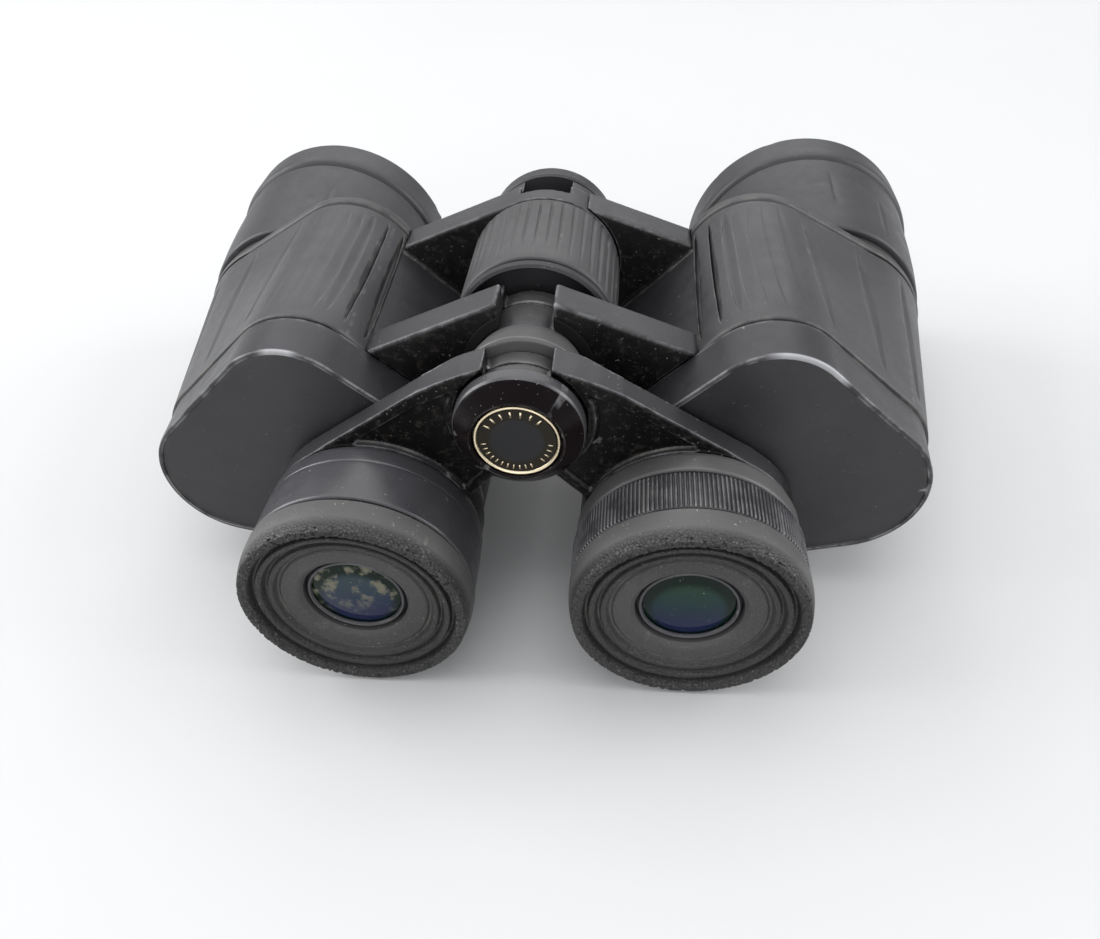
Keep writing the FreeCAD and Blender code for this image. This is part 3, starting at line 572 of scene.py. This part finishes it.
def eyecup(side, x, body, seed):
    """Folded-down rubber eyecup whose rearmost edge has crumbled; seed places the damage."""
    def aged(th, r, y):
        cx, cz = x + r * math.cos(th), r * math.sin(th)
        lip = ease((r - 18.7) / 0.4) * ease((1.1 - y) / 0.6)
        face = ease((3.4 - y) / 1.0)
        p = Vector((cx, y, cz + seed))
        crumb = noise.noise(p * 1.6) + noise.noise(p * 2.9)
        pit = max(0.0, noise.noise(p * 1.5 + Vector((7, 3, 1))) - 0.12)
        dy = lip * (0.16 * crumb + 0.9 * pit) + face * 0.05 * noise.noise(p * 2.2)
        dr = -lip * (0.12 * abs(crumb) + 0.4 * pit)
        skirt = ease((r - 20.9) / 0.4) * ease((y - 1.5) / 1.0)
        dr += skirt * 0.05 * noise.noise(Vector((cx * 0.12, y * 0.2, cz * 0.12 + seed)))
        return r + dr, max(0.0, y + dy)

    verts, faces = lathe(EYECUP_OUTLINE, x, EYE_Z, 760, aged, 0.2)
    add_mesh(side + "_eyecup_aged", verts, faces, "eyecup", body, [side + "_eyecup"], False)


def retainer(side, x, body):
    """Thin ring round the eye lens."""
    verts, faces = lathe(RETAINER_OUTLINE, x, EYE_Z, 160, None, 0.3)
    add_mesh(side + "_lens_ring", verts, faces, "plastic", body, [side + "_lens_retainer"])


def rib_phase(th, ribs):
    """Place within one rib, 0 to 1, at the angle th."""
    return (th * ribs / (2 * math.pi)) % 1.0


def dioptre():
    """Finely ribbed ring behind the right eyecup."""
    def ribbed(th, r, y):
        if r < 20.6:
            return r, y
        groove = ease((1 - abs(rib_phase(th, DIOPTRE_RIBS) - 0.5) / 0.32) * 1.6)
        along = ease((y - 7.5) / 0.2) * ease((16.0 - y) / 0.2)
        return r - 0.7 * groove * along * ease((r - 20.6) / 0.5), y

    verts, faces = lathe(DIOPTRE_OUTLINE, EYE_X, EYE_Z, DIOPTRE_RIBS * 8, ribbed, 0.7)
    add_mesh("dioptre_ring_ribbed", verts, faces, "plastic", "dioptre", ["dioptre_ring"])


def collar_pieces():
    """Plain band behind the dioptre ring on the right, and one long sleeve on the left."""
    verts, faces = lathe(RIGHT_COLLAR_OUTLINE, EYE_X, EYE_Z, 256)
    add_mesh("right_collar_band", verts, faces, "bell", "right_ocular",
             ["right_collar_ring"])
    verts, faces = lathe(LEFT_COLLAR_OUTLINE, -EYE_X, EYE_Z, 256)
    add_mesh("left_collar_band", verts, faces, "plastic", "left_ocular",
             ["left_collar_sleeve"])


# ---------------------------------------------------------------- wheel, bell, cap and badge
WHEEL_GRIP_OUTLINE = [
    (14.95, 51.55), (15.6, 51.55, 0.15), (16.0, 51.8, 0.3), (16.2, 53.0, 0.5), (16.2, 60.0),
    (16.2, 75.5, 0.3), (15.9, 76.05, 0.2), (14.95, 76.08),
]
BELL_OUTLINE = [
    (3.9, 29.75), (11.8, 29.75, 0.3), (12.45, 30.15, 0.35), (12.25, 31.0, 0.8), (11.4, 34.2, 2.0),
    (10.52, 37.1, 0.12), (10.34, 37.2, 0.05), (10.34, 36.25, 0.02), (3.9, 36.2),
]
CAP_OUTLINE = [
    (4.1, 18.0), (7.95, 18.0), (7.95, 16.5, 0.15), (8.35, 16.02, 0.25), (8.8, 16.35, 0.25),
    (11.4, 18.8, 0.35), (11.78, 19.4, 0.3), (11.78, 21.7, 0.2), (11.4, 21.95), (4.1, 21.95),
]
GOLD_RING_OUTLINE = [
    (6.98, 17.9), (6.98, 16.75, 0.1), (7.2, 16.5, 0.12), (7.5, 16.5, 0.12), (7.68, 16.8, 0.1), (7.68, 17.9),
]
WHEEL_RIBS = 42
CAP_SIDE_R = 0.01145                         # metres; the cap is plain plastic outside this radius
# rows of plain strokes: first angle, step, count, inner and outer radius, half width
BADGE_STROKES = [
    (46, 17, 7, 5.25, 6.45, 0.17),
    (-8, -12, 4, 5.45, 6.35, 0.13),
    (-68, -10.5, 11, 5.45, 6.35, 0.11),
]
STROKE_BACK, STROKE_FRONT = 16.64, 16.75


def wheel_grip():
    """Rubber grip with shallow uneven flutes that fade towards the rear edge."""
    def fluted(th, r, y):
        if r < 15.3:
            return r, y
        sway = 0.06 * math.sin(3.1 * th) + 0.05 * math.sin(11.0 * th)
        width = 0.17 + 0.10 * ease((y - 53.0) / 20.0) + sway
        groove = ease(1 - abs(rib_phase(th, WHEEL_RIBS) - 0.5) / max(0.1, width))
        along = ease((y - 52.6) / 11.0) * ease((76.4 - y) / 4.0)
        along = max(along, 0.9 * ease((y - 51.9) / 2.0) * ease((math.cos(th) - 0.55) / 0.25))
        return r - 0.36 * groove * along * ease((r - 15.3) / 0.5), y

    verts, faces = lathe(WHEEL_GRIP_OUTLINE, 0, 0, WHEEL_RIBS * 16, fluted, 0.7)
    add_mesh("focus_wheel_fluted_grip", verts, faces, "grip", "focus_wheel",
             ["focus_wheel_grip"])


def bell_and_cap():
    """Flared bell in front of the bridge and bevelled cap behind it."""
    verts, faces = lathe(BELL_OUTLINE, 0, 0, 200, None, 0.5)
    add_mesh("bridge_bell_turned", verts, faces, "bell", "left_ocular", ["bridge_bell"])
    verts, faces = lathe(CAP_OUTLINE, 0, 0, 220, None, 0.4)
    cap = add_mesh("bridge_end_cap_bevelled", verts, faces, "gloss", "left_ocular",
                   ["bridge_end_cap"])
    cap.data.materials.append(M["plastic"])
    for face in cap.data.polygons:
        spot = face.center
        if math.hypot(spot.x - HINGE.x, spot.z - HINGE.z) > CAP_SIDE_R:
            face.material_index = 1


def badge():
    """Gold ring, and plain gold strokes in three arcs on the dark disc."""
    verts, faces = lathe(GOLD_RING_OUTLINE, 0, 0, 160, None, 0.3)
    add_mesh("badge_gold_ring", verts, faces, "gold", "left_ocular", ["medallion_ring"])
    verts, faces = [], []
    for first, step, count, r0, r1, half in BADGE_STROKES:
        for k in range(count):
            add_stroke(verts, faces, math.radians(first + step * k), r0, r1, half)
    add_mesh("badge_ticks", verts, faces, "gold", "left_ocular", None, False)


def add_stroke(verts, faces, th, r0, r1, half):
    """One flat radial bar at angle th."""
    b = len(verts)
    for r, w in ((r0, -half), (r0, half), (r1, half), (r1, -half)):
        for y in (STROKE_BACK, STROKE_FRONT):
            verts.append((r * math.cos(th) - w * math.sin(th), y, r * math.sin(th) + w * math.cos(th)))
    faces += [(b, b + 2, b + 4, b + 6), (b + 1, b + 7, b + 5, b + 3)]
    for k in range(0, 8, 2):
        nxt = (k + 2) % 8
        faces.append((b + k, b + k + 1, b + nxt + 1, b + nxt))


# ---------------------------------------------------------------- housing outlines
# right-hand sections as three circles (x, z, radius) wrapped by a tight band: top, lower and outer corner
COVER_REAR = [(45.0, -4.0, 14.2), (29.5, -25.0, 19.5), (60.0, -20.7, 16.3)]
COVER_FRONT = [(45.0, -4.0, 14.7), (29.5, -25.0, 19.7), (60.2, -20.7, 16.9)]
BODY_REAR = [(45.0, -4.0, 13.6), (29.5, -25.0, 19.1), (60.5, -20.7, 15.8)]
BODY_FRONT = [(45.3, -2.8, 13.9), (29.5, -24.5, 18.7), (61.6, -21.2, 21.8)]
COVER_Y0, COVER_Y1, BODY_Y1 = 28.5, 38.6, 82.0
EDGE_TOP, EDGE_BOTTOM = (31.8, 6.0), (26.0, -46.0)     # the armour stops at the plane through these


def between(a, b, t):
    """Section the share t of the way from section a to section b."""
    return [tuple(p + (q - p) * t for p, q in zip(ca, cb)) for ca, cb in zip(a, b)]


def grow(circles, t):
    """The same section with the band moved out by t."""
    return [(x, z, r + t) for x, z, r in circles]


def tangent(a, b):
    """Angle, on both circles, at which the straight of the band runs from circle a to circle b."""
    dx, dz = b[0] - a[0], b[1] - a[1]
    length = math.hypot(dx, dz)
    dx, dz = dx / length, dz / length
    s = (a[2] - b[2]) / length
    c = math.sqrt(1.0 - s * s)
    return math.atan2(-c * dx + s * dz, c * dz + s * dx)


def arcs(circles):
    """Start angle and sweep of the wrapped outline on each circle."""
    out = []
    for i in range(3):
        a = tangent(circles[i - 1], circles[i])
        sweep = (tangent(circles[i], circles[(i + 1) % 3]) - a) % (2 * math.pi)
        out.append((a, sweep))
    return out


def on_arc(circle, a):
    return (circle[0] + circle[2] * math.cos(a), circle[1] + circle[2] * math.sin(a))


def closed_outline(circles, per_arc, per_line):
    """Points round the whole outline, the same count of them on every section."""
    spans = arcs(circles)
    points = []
    for i in range(3):
        a, sweep = spans[i]
        for k in range(per_arc[i]):
            points.append(on_arc(circles[i], a + sweep * k / per_arc[i]))
        end = on_arc(circles[i], a + sweep)
        nxt = on_arc(circles[(i + 1) % 3], spans[(i + 1) % 3][0])
        points += line_points(end, nxt, per_line[i])
    return points


def mirrored(verts):
    return [(-x, y, z) for x, y, z in verts]


def line_points(p, q, count):
    """Evenly spaced points from p up to, but not including, q."""
    return [(p[0] + (q[0] - p[0]) * k / count, p[1] + (q[1] - p[1]) * k / count) for k in range(count)]


def stitched(rings, open_length=0):
    """Faces between neighbouring rings; rings of at most open_length points stay open between their ends."""
    faces = []
    a = 0
    for ring, following in zip(rings, rings[1:]):
        b = a + len(ring)
        count = min(len(ring), len(following))
        closed = len(ring) == len(following) and len(ring) > open_length
        for k in range(count if closed else count - 1):
            j = (k + 1) % count
            faces.append((a + k, a + j, b + j, b + k))
        a = b
    return faces


COVER_HOLE_R = 14.2                          # round the eyepiece
PLATE_SUNK = 0.36                            # the plate lies this far inside the rim
PLATE_RINGS = 22
# (offset from the outline, depth from the rear face): over the rim, down the skirt and back inside
COVER_SHOULDER = [
    (-1.15, PLATE_SUNK), (-1.02, PLATE_SUNK), (-0.96, 0.30), (-0.93, 0.10), (-0.88, 0.01), (-0.6, 0.0),
    (-0.34, 0.01), (-0.16, 0.07), (-0.04, 0.2), (0.0, 0.42), (0.0, 0.8), (0.0, 2.0), (0.0, 4.5),
    (0.0, 7.0), (0.0, 8.8), (0.0, 9.8), (-0.05, 10.0), (-0.25, 10.1), (-1.4, 10.1), (-1.6, 9.8),
    (-1.6, 6.0), (-1.6, 2.2), (-4.0, 1.8),
]


def rear_covers():
    """Shallow painted cap: recessed plate, raised rim, rounded shoulder and skirt."""
    per_arc, per_line = (60, 80, 60), (24, 40, 24)
    rings = []
    base = closed_outline(grow(COVER_REAR, COVER_SHOULDER[0][0]), per_arc, per_line)
    for k in range(PLATE_RINGS):
        t = k / PLATE_RINGS
        ring = []
        for px, pz in base:
            dx, dz = px - EYE_X, pz - EYE_Z
            d = math.hypot(dx, dz)
            r = COVER_HOLE_R + (d - COVER_HOLE_R) * t
            x, z = EYE_X + dx / d * r, EYE_Z + dz / d * r
            sink = 0.05 * noise.noise(Vector((x * 0.09, 0.0, z * 0.09)))
            ring.append((x, COVER_Y0 + PLATE_SUNK + sink * ease(t * 3) * ease((1 - t) * 6), z))
        rings.append(ring)
    for offset, dy in COVER_SHOULDER:
        section = grow(between(COVER_REAR, COVER_FRONT, max(0.0, dy - 0.7) / 9.4), offset)
        rings.append([(x, COVER_Y0 + dy, z) for x, z in closed_outline(section, per_arc, per_line)])
    verts = [v for ring in rings for v in ring]
    faces = stitched(rings)
    for side, shape in (("right", verts), ("left", mirrored(verts))):
        add_mesh(side + "_cover_painted", shape, faces, "cover", side + "_barrel",
                 [side + "_rear_cover"])


# ---------------------------------------------------------------- rubber armour
ARMOUR_T = 1.4
GROOVE_MIDDLE, GROOVE_HALF = 61.2, 19.5      # Y of the middle of the long dents, and half their length
FRONT_CLOSING_Y = 87.25                      # the shoulder closes on the sleeve here
SLEEVE_HOLE_R = 23.1
CLOSING_RINGS = 6
SLOPE = (EDGE_TOP[0] - EDGE_BOTTOM[0]) / (EDGE_TOP[1] - EDGE_BOTTOM[1])
# points along each stretch of the armour's outline, and along its inner side where it closes in front
LOWER_ARC, LOWER_LINE, OUTER_ARC, UPPER_LINE, UPPER_ARC = 40, 60, 190, 110, 150
INNER_LINE = 24
CLOSED_FROM_Y = BODY_Y1 + 0.05
# long dents: corner, share along its arc, width and depth; a share over 1 lies beyond the arc, on the
# straight after the outer corner or EDGE_GROOVE_IN inside the upper edge
TOP, OUTER = 0, 2
EDGE_GROOVE_IN = 1.7
GROOVES = [(TOP, 1.08, 0.85, 0.7), (TOP, 0.97, 0.65, 0.4)]
GROOVES += [(TOP, s, 1.5, 0.07) for s in (0.79, 0.67, 0.53, 0.38, 0.2)]
GROOVES += [(OUTER, 1.92, 1.7, 0.22), (OUTER, 1.3, 1.8, 0.35), (OUTER, 0.9, 1.7, 0.6)]
GROOVES += [(OUTER, s, 1.7, 0.6) for s in (0.7, 0.5, 0.28, 0.1)]


def crossing(circle, angle, turn):
    """Angle at which the circle meets the armour's edge plane, searched from a starting angle."""
    def side(a):
        x, z = on_arc(circle, a)
        return x - (EDGE_TOP[0] + SLOPE * (z - EDGE_TOP[1]))
    step = math.radians(1.0) * turn
    for _ in range(180):
        if side(angle) * side(angle + step) <= 0:
            lo, hi = angle, angle + step
            for _ in range(30):
                mid = (lo + hi) / 2
                if side(lo) * side(mid) <= 0:
                    hi = mid
                else:
                    lo = mid
            return (lo + hi) / 2
        angle += step
    return angle


def open_outline(circles):
    """Armour outline from its lower edge round the outside to its upper edge, the distance run at each
    point, and a function that gives the distance of a groove."""
    top, low, out = circles
    (top_a, top_sweep), (low_a, low_sweep), (out_a, out_sweep) = arcs(circles)
    low_end = low_a + low_sweep
    start = crossing(low, low_end, -1)
    stop = crossing(top, top_a, 1)
    lower_arc = [on_arc(low, start + (low_end - start) * k / LOWER_ARC) for k in range(LOWER_ARC)]
    outer_arc = [on_arc(out, out_a + out_sweep * k / OUTER_ARC) for k in range(OUTER_ARC)]
    upper_arc = [on_arc(top, top_a + (stop - top_a) * k / UPPER_ARC) for k in range(UPPER_ARC + 1)]
    lower_line = line_points(on_arc(low, low_end), outer_arc[0], LOWER_LINE)
    upper_line = line_points(on_arc(out, out_a + out_sweep), upper_arc[0], UPPER_LINE)
    points = lower_arc + lower_line + outer_arc + upper_line + upper_arc
    run = [0.0]
    for p, q in zip(points, points[1:]):
        run.append(run[-1] + math.dist(p, q))

    def distance(corner, share):
        if corner == TOP and share > 1:
            return run[-1] - EDGE_GROOVE_IN
        if corner == TOP:
            first = LOWER_ARC + LOWER_LINE + OUTER_ARC + UPPER_LINE
            k = min(share * top_sweep / (stop - top_a), 0.999) * UPPER_ARC
        elif share > 1:
            first = LOWER_ARC + LOWER_LINE + OUTER_ARC
            k = (share - 1) * UPPER_LINE
        else:
            first = LOWER_ARC + LOWER_LINE
            k = share * OUTER_ARC
        i = first + int(k)
        return run[i] + (run[i + 1] - run[i]) * (k - int(k))

    return points, run, distance


def armour_rows():
    """(offset, y) along the armour from its rear edge over the front bead and down to the shoulder."""
    rows = [(0.05, 38.88), (1.1, 38.88), (1.3, 38.95), (1.38, 39.15)]
    rows += [(ARMOUR_T, 39.6 + 0.42 * k) for k in range(99)]
    rows += [(1.4, 81.6), (1.32, 81.85), (1.12, 81.98), (1.08, 82.15), (1.25, 82.3), (1.6, 82.42)]
    rows += [(1.75, 82.7), (1.82, 83.3), (1.84, 84.0), (1.8, 84.7), (1.6, 85.1), (1.3, 85.3)]
    rows += [(0.8, 85.6), (0.2, 86.1), (-0.5, 86.8), (-1.1, FRONT_CLOSING_Y)]
    return rows


def groove_depth(s, y, distance):
    """Depth of the dents at the distance s along the outline."""
    deep = 0.0
    for corner, share, width, depth in GROOVES:
        along = 1 - ((y - GROOVE_MIDDLE) / GROOVE_HALF) ** 2
        if along <= 0:
            continue
        d = abs(s - distance(corner, share)) / (width * (0.25 + 0.75 * along))
        if d < 1:
            deep = max(deep, depth * (1 - d * d) ** 2 * ease(along * 2.2))
    return deep


def section_at(y):
    """Section of the housing under the armour."""
    if y > BODY_Y1:
        return BODY_FRONT
    return between(BODY_REAR, BODY_FRONT, (y - COVER_Y1) / (BODY_Y1 - COVER_Y1))


def armour_ring(offset, y):
    """One section of the armour, offset from the housing, with a foot on the housing at either end."""
    section = section_at(y)
    inner = open_outline(section)[0]
    outer, run, distance = open_outline(grow(section, offset))
    ring = []
    for (qx, qz), (px, pz), s in zip(inner, outer, run):
        if offset > 0.1:
            lower = 0.0
            if y < BODY_Y1:
                from_edge = min(s, run[-1] - s)
                lower = 0.55 * (1 - math.sqrt(max(0.0, 1 - max(0.0, 1 - from_edge / 0.7) ** 2)))
            if ARMOUR_T - 0.1 <= offset <= ARMOUR_T:
                lower += groove_depth(s, y, distance)
                lower += 0.03 * noise.noise(Vector((px * 0.15, y * 0.1, pz * 0.15)))
            keep = max(0.05, offset - lower) / offset
            px, pz = qx + (px - qx) * keep, qz + (pz - qz) * keep
        ring.append((px, y, pz))
    foot_a, foot_b = inner[0], inner[-1]
    return [(foot_a[0], y, foot_a[1])] + ring + [(foot_b[0], y, foot_b[1])]


def drawn_in(x, z, t):
    """Point moved the share t of the way to the edge of the sleeve's hole."""
    dx, dz = x - OBJ_X, z - OBJ_Z
    d = math.hypot(dx, dz)
    r = d + (SLEEVE_HOLE_R - d) * t
    return OBJ_X + dx / d * r, OBJ_Z + dz / d * r


def armour():
    """Rubber skin of each housing, open towards the hinge and closed round the front shoulder."""
    rings = []
    for offset, y in armour_rows():
        ring = armour_ring(offset, y)
        if y > CLOSED_FROM_Y:
            a, b = ring[-1], ring[0]
            across = line_points((a[0], a[2]), (b[0], b[2]), INNER_LINE)[1:]
            ring += [(x, y, z) for x, z in across]
        rings.append(ring)
    shoulder = [(x, z) for x, _, z in rings[-1]]
    for step in range(1, CLOSING_RINGS + 1):
        t = step / CLOSING_RINGS
        y = FRONT_CLOSING_Y + 0.12 * ease(t * 3)
        moved = [drawn_in(x, z, t) for x, z in shoulder]
        rings.append([(x, y, z) for x, z in moved])
    verts = [v for ring in rings for v in ring]
    faces = stitched(rings, len(rings[0]))
    for side, shape in (("right", verts), ("left", mirrored(verts))):
        add_mesh(side + "_armour_moulded", shape, faces, "armour", side + "_barrel",
                 [side + "_armour"])


# ---------------------------------------------------------------- objective sleeves
# spindle dents in the sleeves: angle round the objective axis and the Y range
SLEEVE_DENTS = {
    "right": [(2.05, 97.0, 108.0), (1.42, 97.0, 112.0), (0.95, 92.0, 106.0)],
    "left": [(1.35, 97.0, 108.0)],
}
SLEEVE_OUTLINE = [
    (23.05, 87.65), (24.0, 87.65, 0.2), (24.4, 88.1, 0.3), (25.2, 94.0, 2.0), (25.95, 102.0, 2.0),
    (27.0, 117.0, 0.3), (26.95, 117.35, 0.1), (26.7, 117.5, 0.08), (26.7, 117.8, 0.08),
    (27.0, 117.95, 0.12), (27.7, 118.5, 0.5), (28.0, 119.8, 0.8), (28.0, 127.7, 0.5),
    (27.7, 128.5, 0.4), (26.8, 129.0, 0.4), (24.1, 129.0, 0.3), (23.2, 128.3, 0.3),
    (22.7, 127.75, 0.1), (23.05, 127.7),
]


def sleeve(side, x, seed):
    """Rubber sleeve and rim of one objective, dented and slightly uneven; seed places the unevenness."""
    def worn(th, r, y):
        if r < 24.0:
            return r, y
        p = Vector((r * math.cos(th) * 0.1, y * 0.12, r * math.sin(th) * 0.1 + seed))
        dent = max(0.0, noise.noise(p * 2.4) - 0.42) * ease((r - 24.0) / 1.0)
        for a, y0, y1 in SLEEVE_DENTS[side]:
            off = abs((th - a + math.pi) % (2 * math.pi) - math.pi) * r / 0.8
            along = 1 - ((y - (y0 + y1) / 2) / ((y1 - y0) / 2)) ** 2
            if off < 1 and along > 0:
                dent += 0.6 * (1 - off * off) ** 2 * along
        return r + 0.04 * noise.noise(p) - 0.5 * dent, y

    verts, faces = lathe(SLEEVE_OUTLINE, x, OBJ_Z, 360, worn, 0.6)
    add_mesh(side + "_sleeve_moulded", verts, faces, "sleeve", side + "_barrel",
             [side + "_objective_sleeve"])


# ---------------------------------------------------------------- castings with softened edges
BODY_VOXEL, ARM_VOXEL = 0.00036, 0.00028     # metres
SOFTENING_PASSES = 5


def ease_all(t):
    """The same smooth step for a whole array."""
    t = np.clip(t, 0.0, 1.0)
    return t * t * (3 - 2 * t)


# front edge of a bridge arm: Y at the knuckle and at the rib, and the X between which it slopes
ARM_FRONT_ROOT, ARM_FRONT_RIB = 29.4, 27.35
ARM_SLOPE_X0, ARM_SLOPE_X1 = 9.0, 18.2
ARM_CREST_X, ARM_CREST_Z = (6.0, 10.0, 14.0, 18.0, 19.5), (11.0, 9.6, 7.95, 6.0, 5.2)
WEB_Y = 23.4                                 # rear face of the web
CAP_BOSS_R, COLLAR_CLEAR_R = 13.2, 21.2


def shaped_bridge_arm(mesh):
    """Blends the arm's root into its rib in front, and leaves only a narrow boss round the end cap."""
    flat = np.empty(len(mesh.vertices) * 3)
    mesh.vertices.foreach_get("co", flat)
    spots = flat.reshape(-1, 3)
    x = np.abs(spots[:, 0] - HINGE.x) * 1000
    y = (spots[:, 1] - REAR_Y) * 1000
    z = (spots[:, 2] - HINGE.z) * 1000
    reach = np.hypot(x, z)
    slope = ease_all((x - ARM_SLOPE_X0) / (ARM_SLOPE_X1 - ARM_SLOPE_X0))
    front = ARM_FRONT_ROOT + (ARM_FRONT_RIB - ARM_FRONT_ROOT) * slope
    y = np.where(x > ARM_SLOPE_X0, np.minimum(y, front), y)
    under_rib = np.interp(x, ARM_CREST_X, ARM_CREST_Z) - 2.9
    sink = ease_all((reach - CAP_BOSS_R) / 0.8) * ease_all((under_rib - z) / 0.7) * ease_all((z + 11.0) / 0.7)
    off_collar = np.hypot(x - EYE_X, z - EYE_Z) > COLLAR_CLEAR_R
    sink = np.where((x > 6.0) & (x < 19.0) & (y < WEB_Y) & off_collar, sink, 0.0)
    y = y + (WEB_Y - y) * sink
    spots[:, 1] = y / 1000 + REAR_Y
    mesh.vertices.foreach_set("co", spots.ravel())
    mesh.update()


def softened(node, body, voxel, shaping=None):
    """Copy of a CAD casting with every edge rounded as a painted die casting has it."""
    obj = bpy.data.objects.new(node + "_cast", nodes[node].data.copy())
    scene.collection.objects.link(obj)
    r = obj.modifiers.new("remesh", "REMESH")
    r.mode = "VOXEL"
    r.voxel_size = voxel
    s = obj.modifiers.new("ease", "SMOOTH")
    s.factor = 0.5
    s.iterations = SOFTENING_PASSES
    dg = bpy.context.evaluated_depsgraph_get()
    made = bpy.data.meshes.new_from_object(obj.evaluated_get(dg))
    obj.modifiers.clear()
    obj.data = made
    if shaping:
        shaping(made)
    made.polygons.foreach_set("use_smooth", [True] * len(made.polygons))
    made.materials.clear()
    made.materials.append(M["casting"])
    # painted shade: faces of the bridge arms that look rearwards and not up get the darker shadowed copy of
    # the paint
    if shaping:
        made.materials.append(M["shadowed"])
        for face in made.polygons:
            if face.normal.y < -0.55 and face.normal.z < 0.5:
                face.material_index = 1
    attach(obj, body)
    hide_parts(node)


eyecup("right", EYE_X, "dioptre", 0.0)
eyecup("left", -EYE_X, "left_ocular", 40.0)
retainer("right", EYE_X, "right_lens_cell")
retainer("left", -EYE_X, "left_ocular")
dioptre()
collar_pieces()
wheel_grip()
bell_and_cap()
badge()
rear_covers()
armour()
sleeve("right", OBJ_X, 3.0)
sleeve("left", -OBJ_X, 11.0)
for side in ("right", "left"):
    softened(side + "_body", side + "_barrel", BODY_VOXEL)
for side in ("right", "left"):
    softened(side + "_bridge_arm", side + "_ocular", ARM_VOXEL, shaped_bridge_arm)


# ---------------------------------------------------------------- floor, light and camera
TABLE_HALF, TABLE_BACK = 3.0, 1.6            # half width, and where the table starts to curve up
CURVE_R, BACKDROP_TOP = 0.8, 3.0


def floor():
    """Table top that curves up behind into a backdrop."""
    line = [(-TABLE_HALF, 0.0), (TABLE_BACK, 0.0)]
    for a in np.linspace(0.1, math.pi / 2, 14):
        line.append((TABLE_BACK + CURVE_R * math.sin(a), CURVE_R * (1 - math.cos(a))))
    line.append((TABLE_BACK + CURVE_R, BACKDROP_TOP))
    verts = [(x, y, z) for y, z in line for x in (-TABLE_HALF, TABLE_HALF)]
    faces = [(2 * i, 2 * i + 1, 2 * i + 3, 2 * i + 2) for i in range(len(line) - 1)]
    mesh = bpy.data.meshes.new("table_top")
    mesh.from_pydata(verts, [], faces)
    mesh.polygons.foreach_set("use_smooth", [True] * len(faces))
    mesh.materials.append(M["table"])
    obj = bpy.data.objects.new("table_top", mesh)
    scene.collection.objects.link(obj)


def area_light(name, place, target, size_x, size_y, watts):
    """Rectangular soft light at place that faces target."""
    data = bpy.data.lights.new(name, "AREA")
    data.shape = "RECTANGLE"
    data.size, data.size_y = size_x, size_y
    data.energy = watts
    obj = bpy.data.objects.new(name, data)
    obj.location = place
    obj.rotation_euler = (Vector(target) - Vector(place)).to_track_quat("-Z", "Y").to_euler()
    scene.collection.objects.link(obj)


def studio_world():
    """Even pale surroundings."""
    world = bpy.data.worlds.new("studio")
    world.use_nodes = True
    background = world.node_tree.nodes["Background"]
    background.inputs["Color"].default_value = (0.93, 0.96, 1.0, 1.0)
    background.inputs["Strength"].default_value = 0.79
    scene.world = world


CAMERA_PLACE = (0.02004, -0.16178, 0.14641)
CAMERA_TURN = (47.77295, 2.77069, 4.78867)   # degrees about X, Y and Z


def main_camera():
    """Camera behind and above the eyepieces."""
    data = bpy.data.cameras.new("camera")
    data.sensor_width = 36.0
    data.lens = 28.79
    data.clip_start, data.clip_end = 0.01, 20.0
    camera = bpy.data.objects.new("camera", data)
    camera.location = CAMERA_PLACE
    camera.rotation_euler = [math.radians(turn) for turn in CAMERA_TURN]
    scene.collection.objects.link(camera)
    scene.camera = camera


floor()
area_light("back_softbox", (-0.1, 1.0, 0.9), (0.0, 0.0, 0.02), 1.6, 1.0, 7.0)
area_light("overhead", (0.0, 0.0, 1.0), (0.0, 0.0, 0.02), 0.8, 0.8, 3.8)
area_light("left_fill", (-1.0, 0.1, 0.55), (0.0, 0.0, 0.03), 0.9, 0.8, 10.5)
area_light("right_fill", (1.1, 0.1, 0.55), (0.0, 0.0, 0.03), 0.9, 0.8, 8.0)
area_light("front_fill", (0.0, -1.2, 0.45), (0.0, -0.04, 0.02), 1.2, 0.6, 4.0)
studio_world()
main_camera()
scene.view_settings.view_transform = "Standard"
scene.view_settings.look = "None"
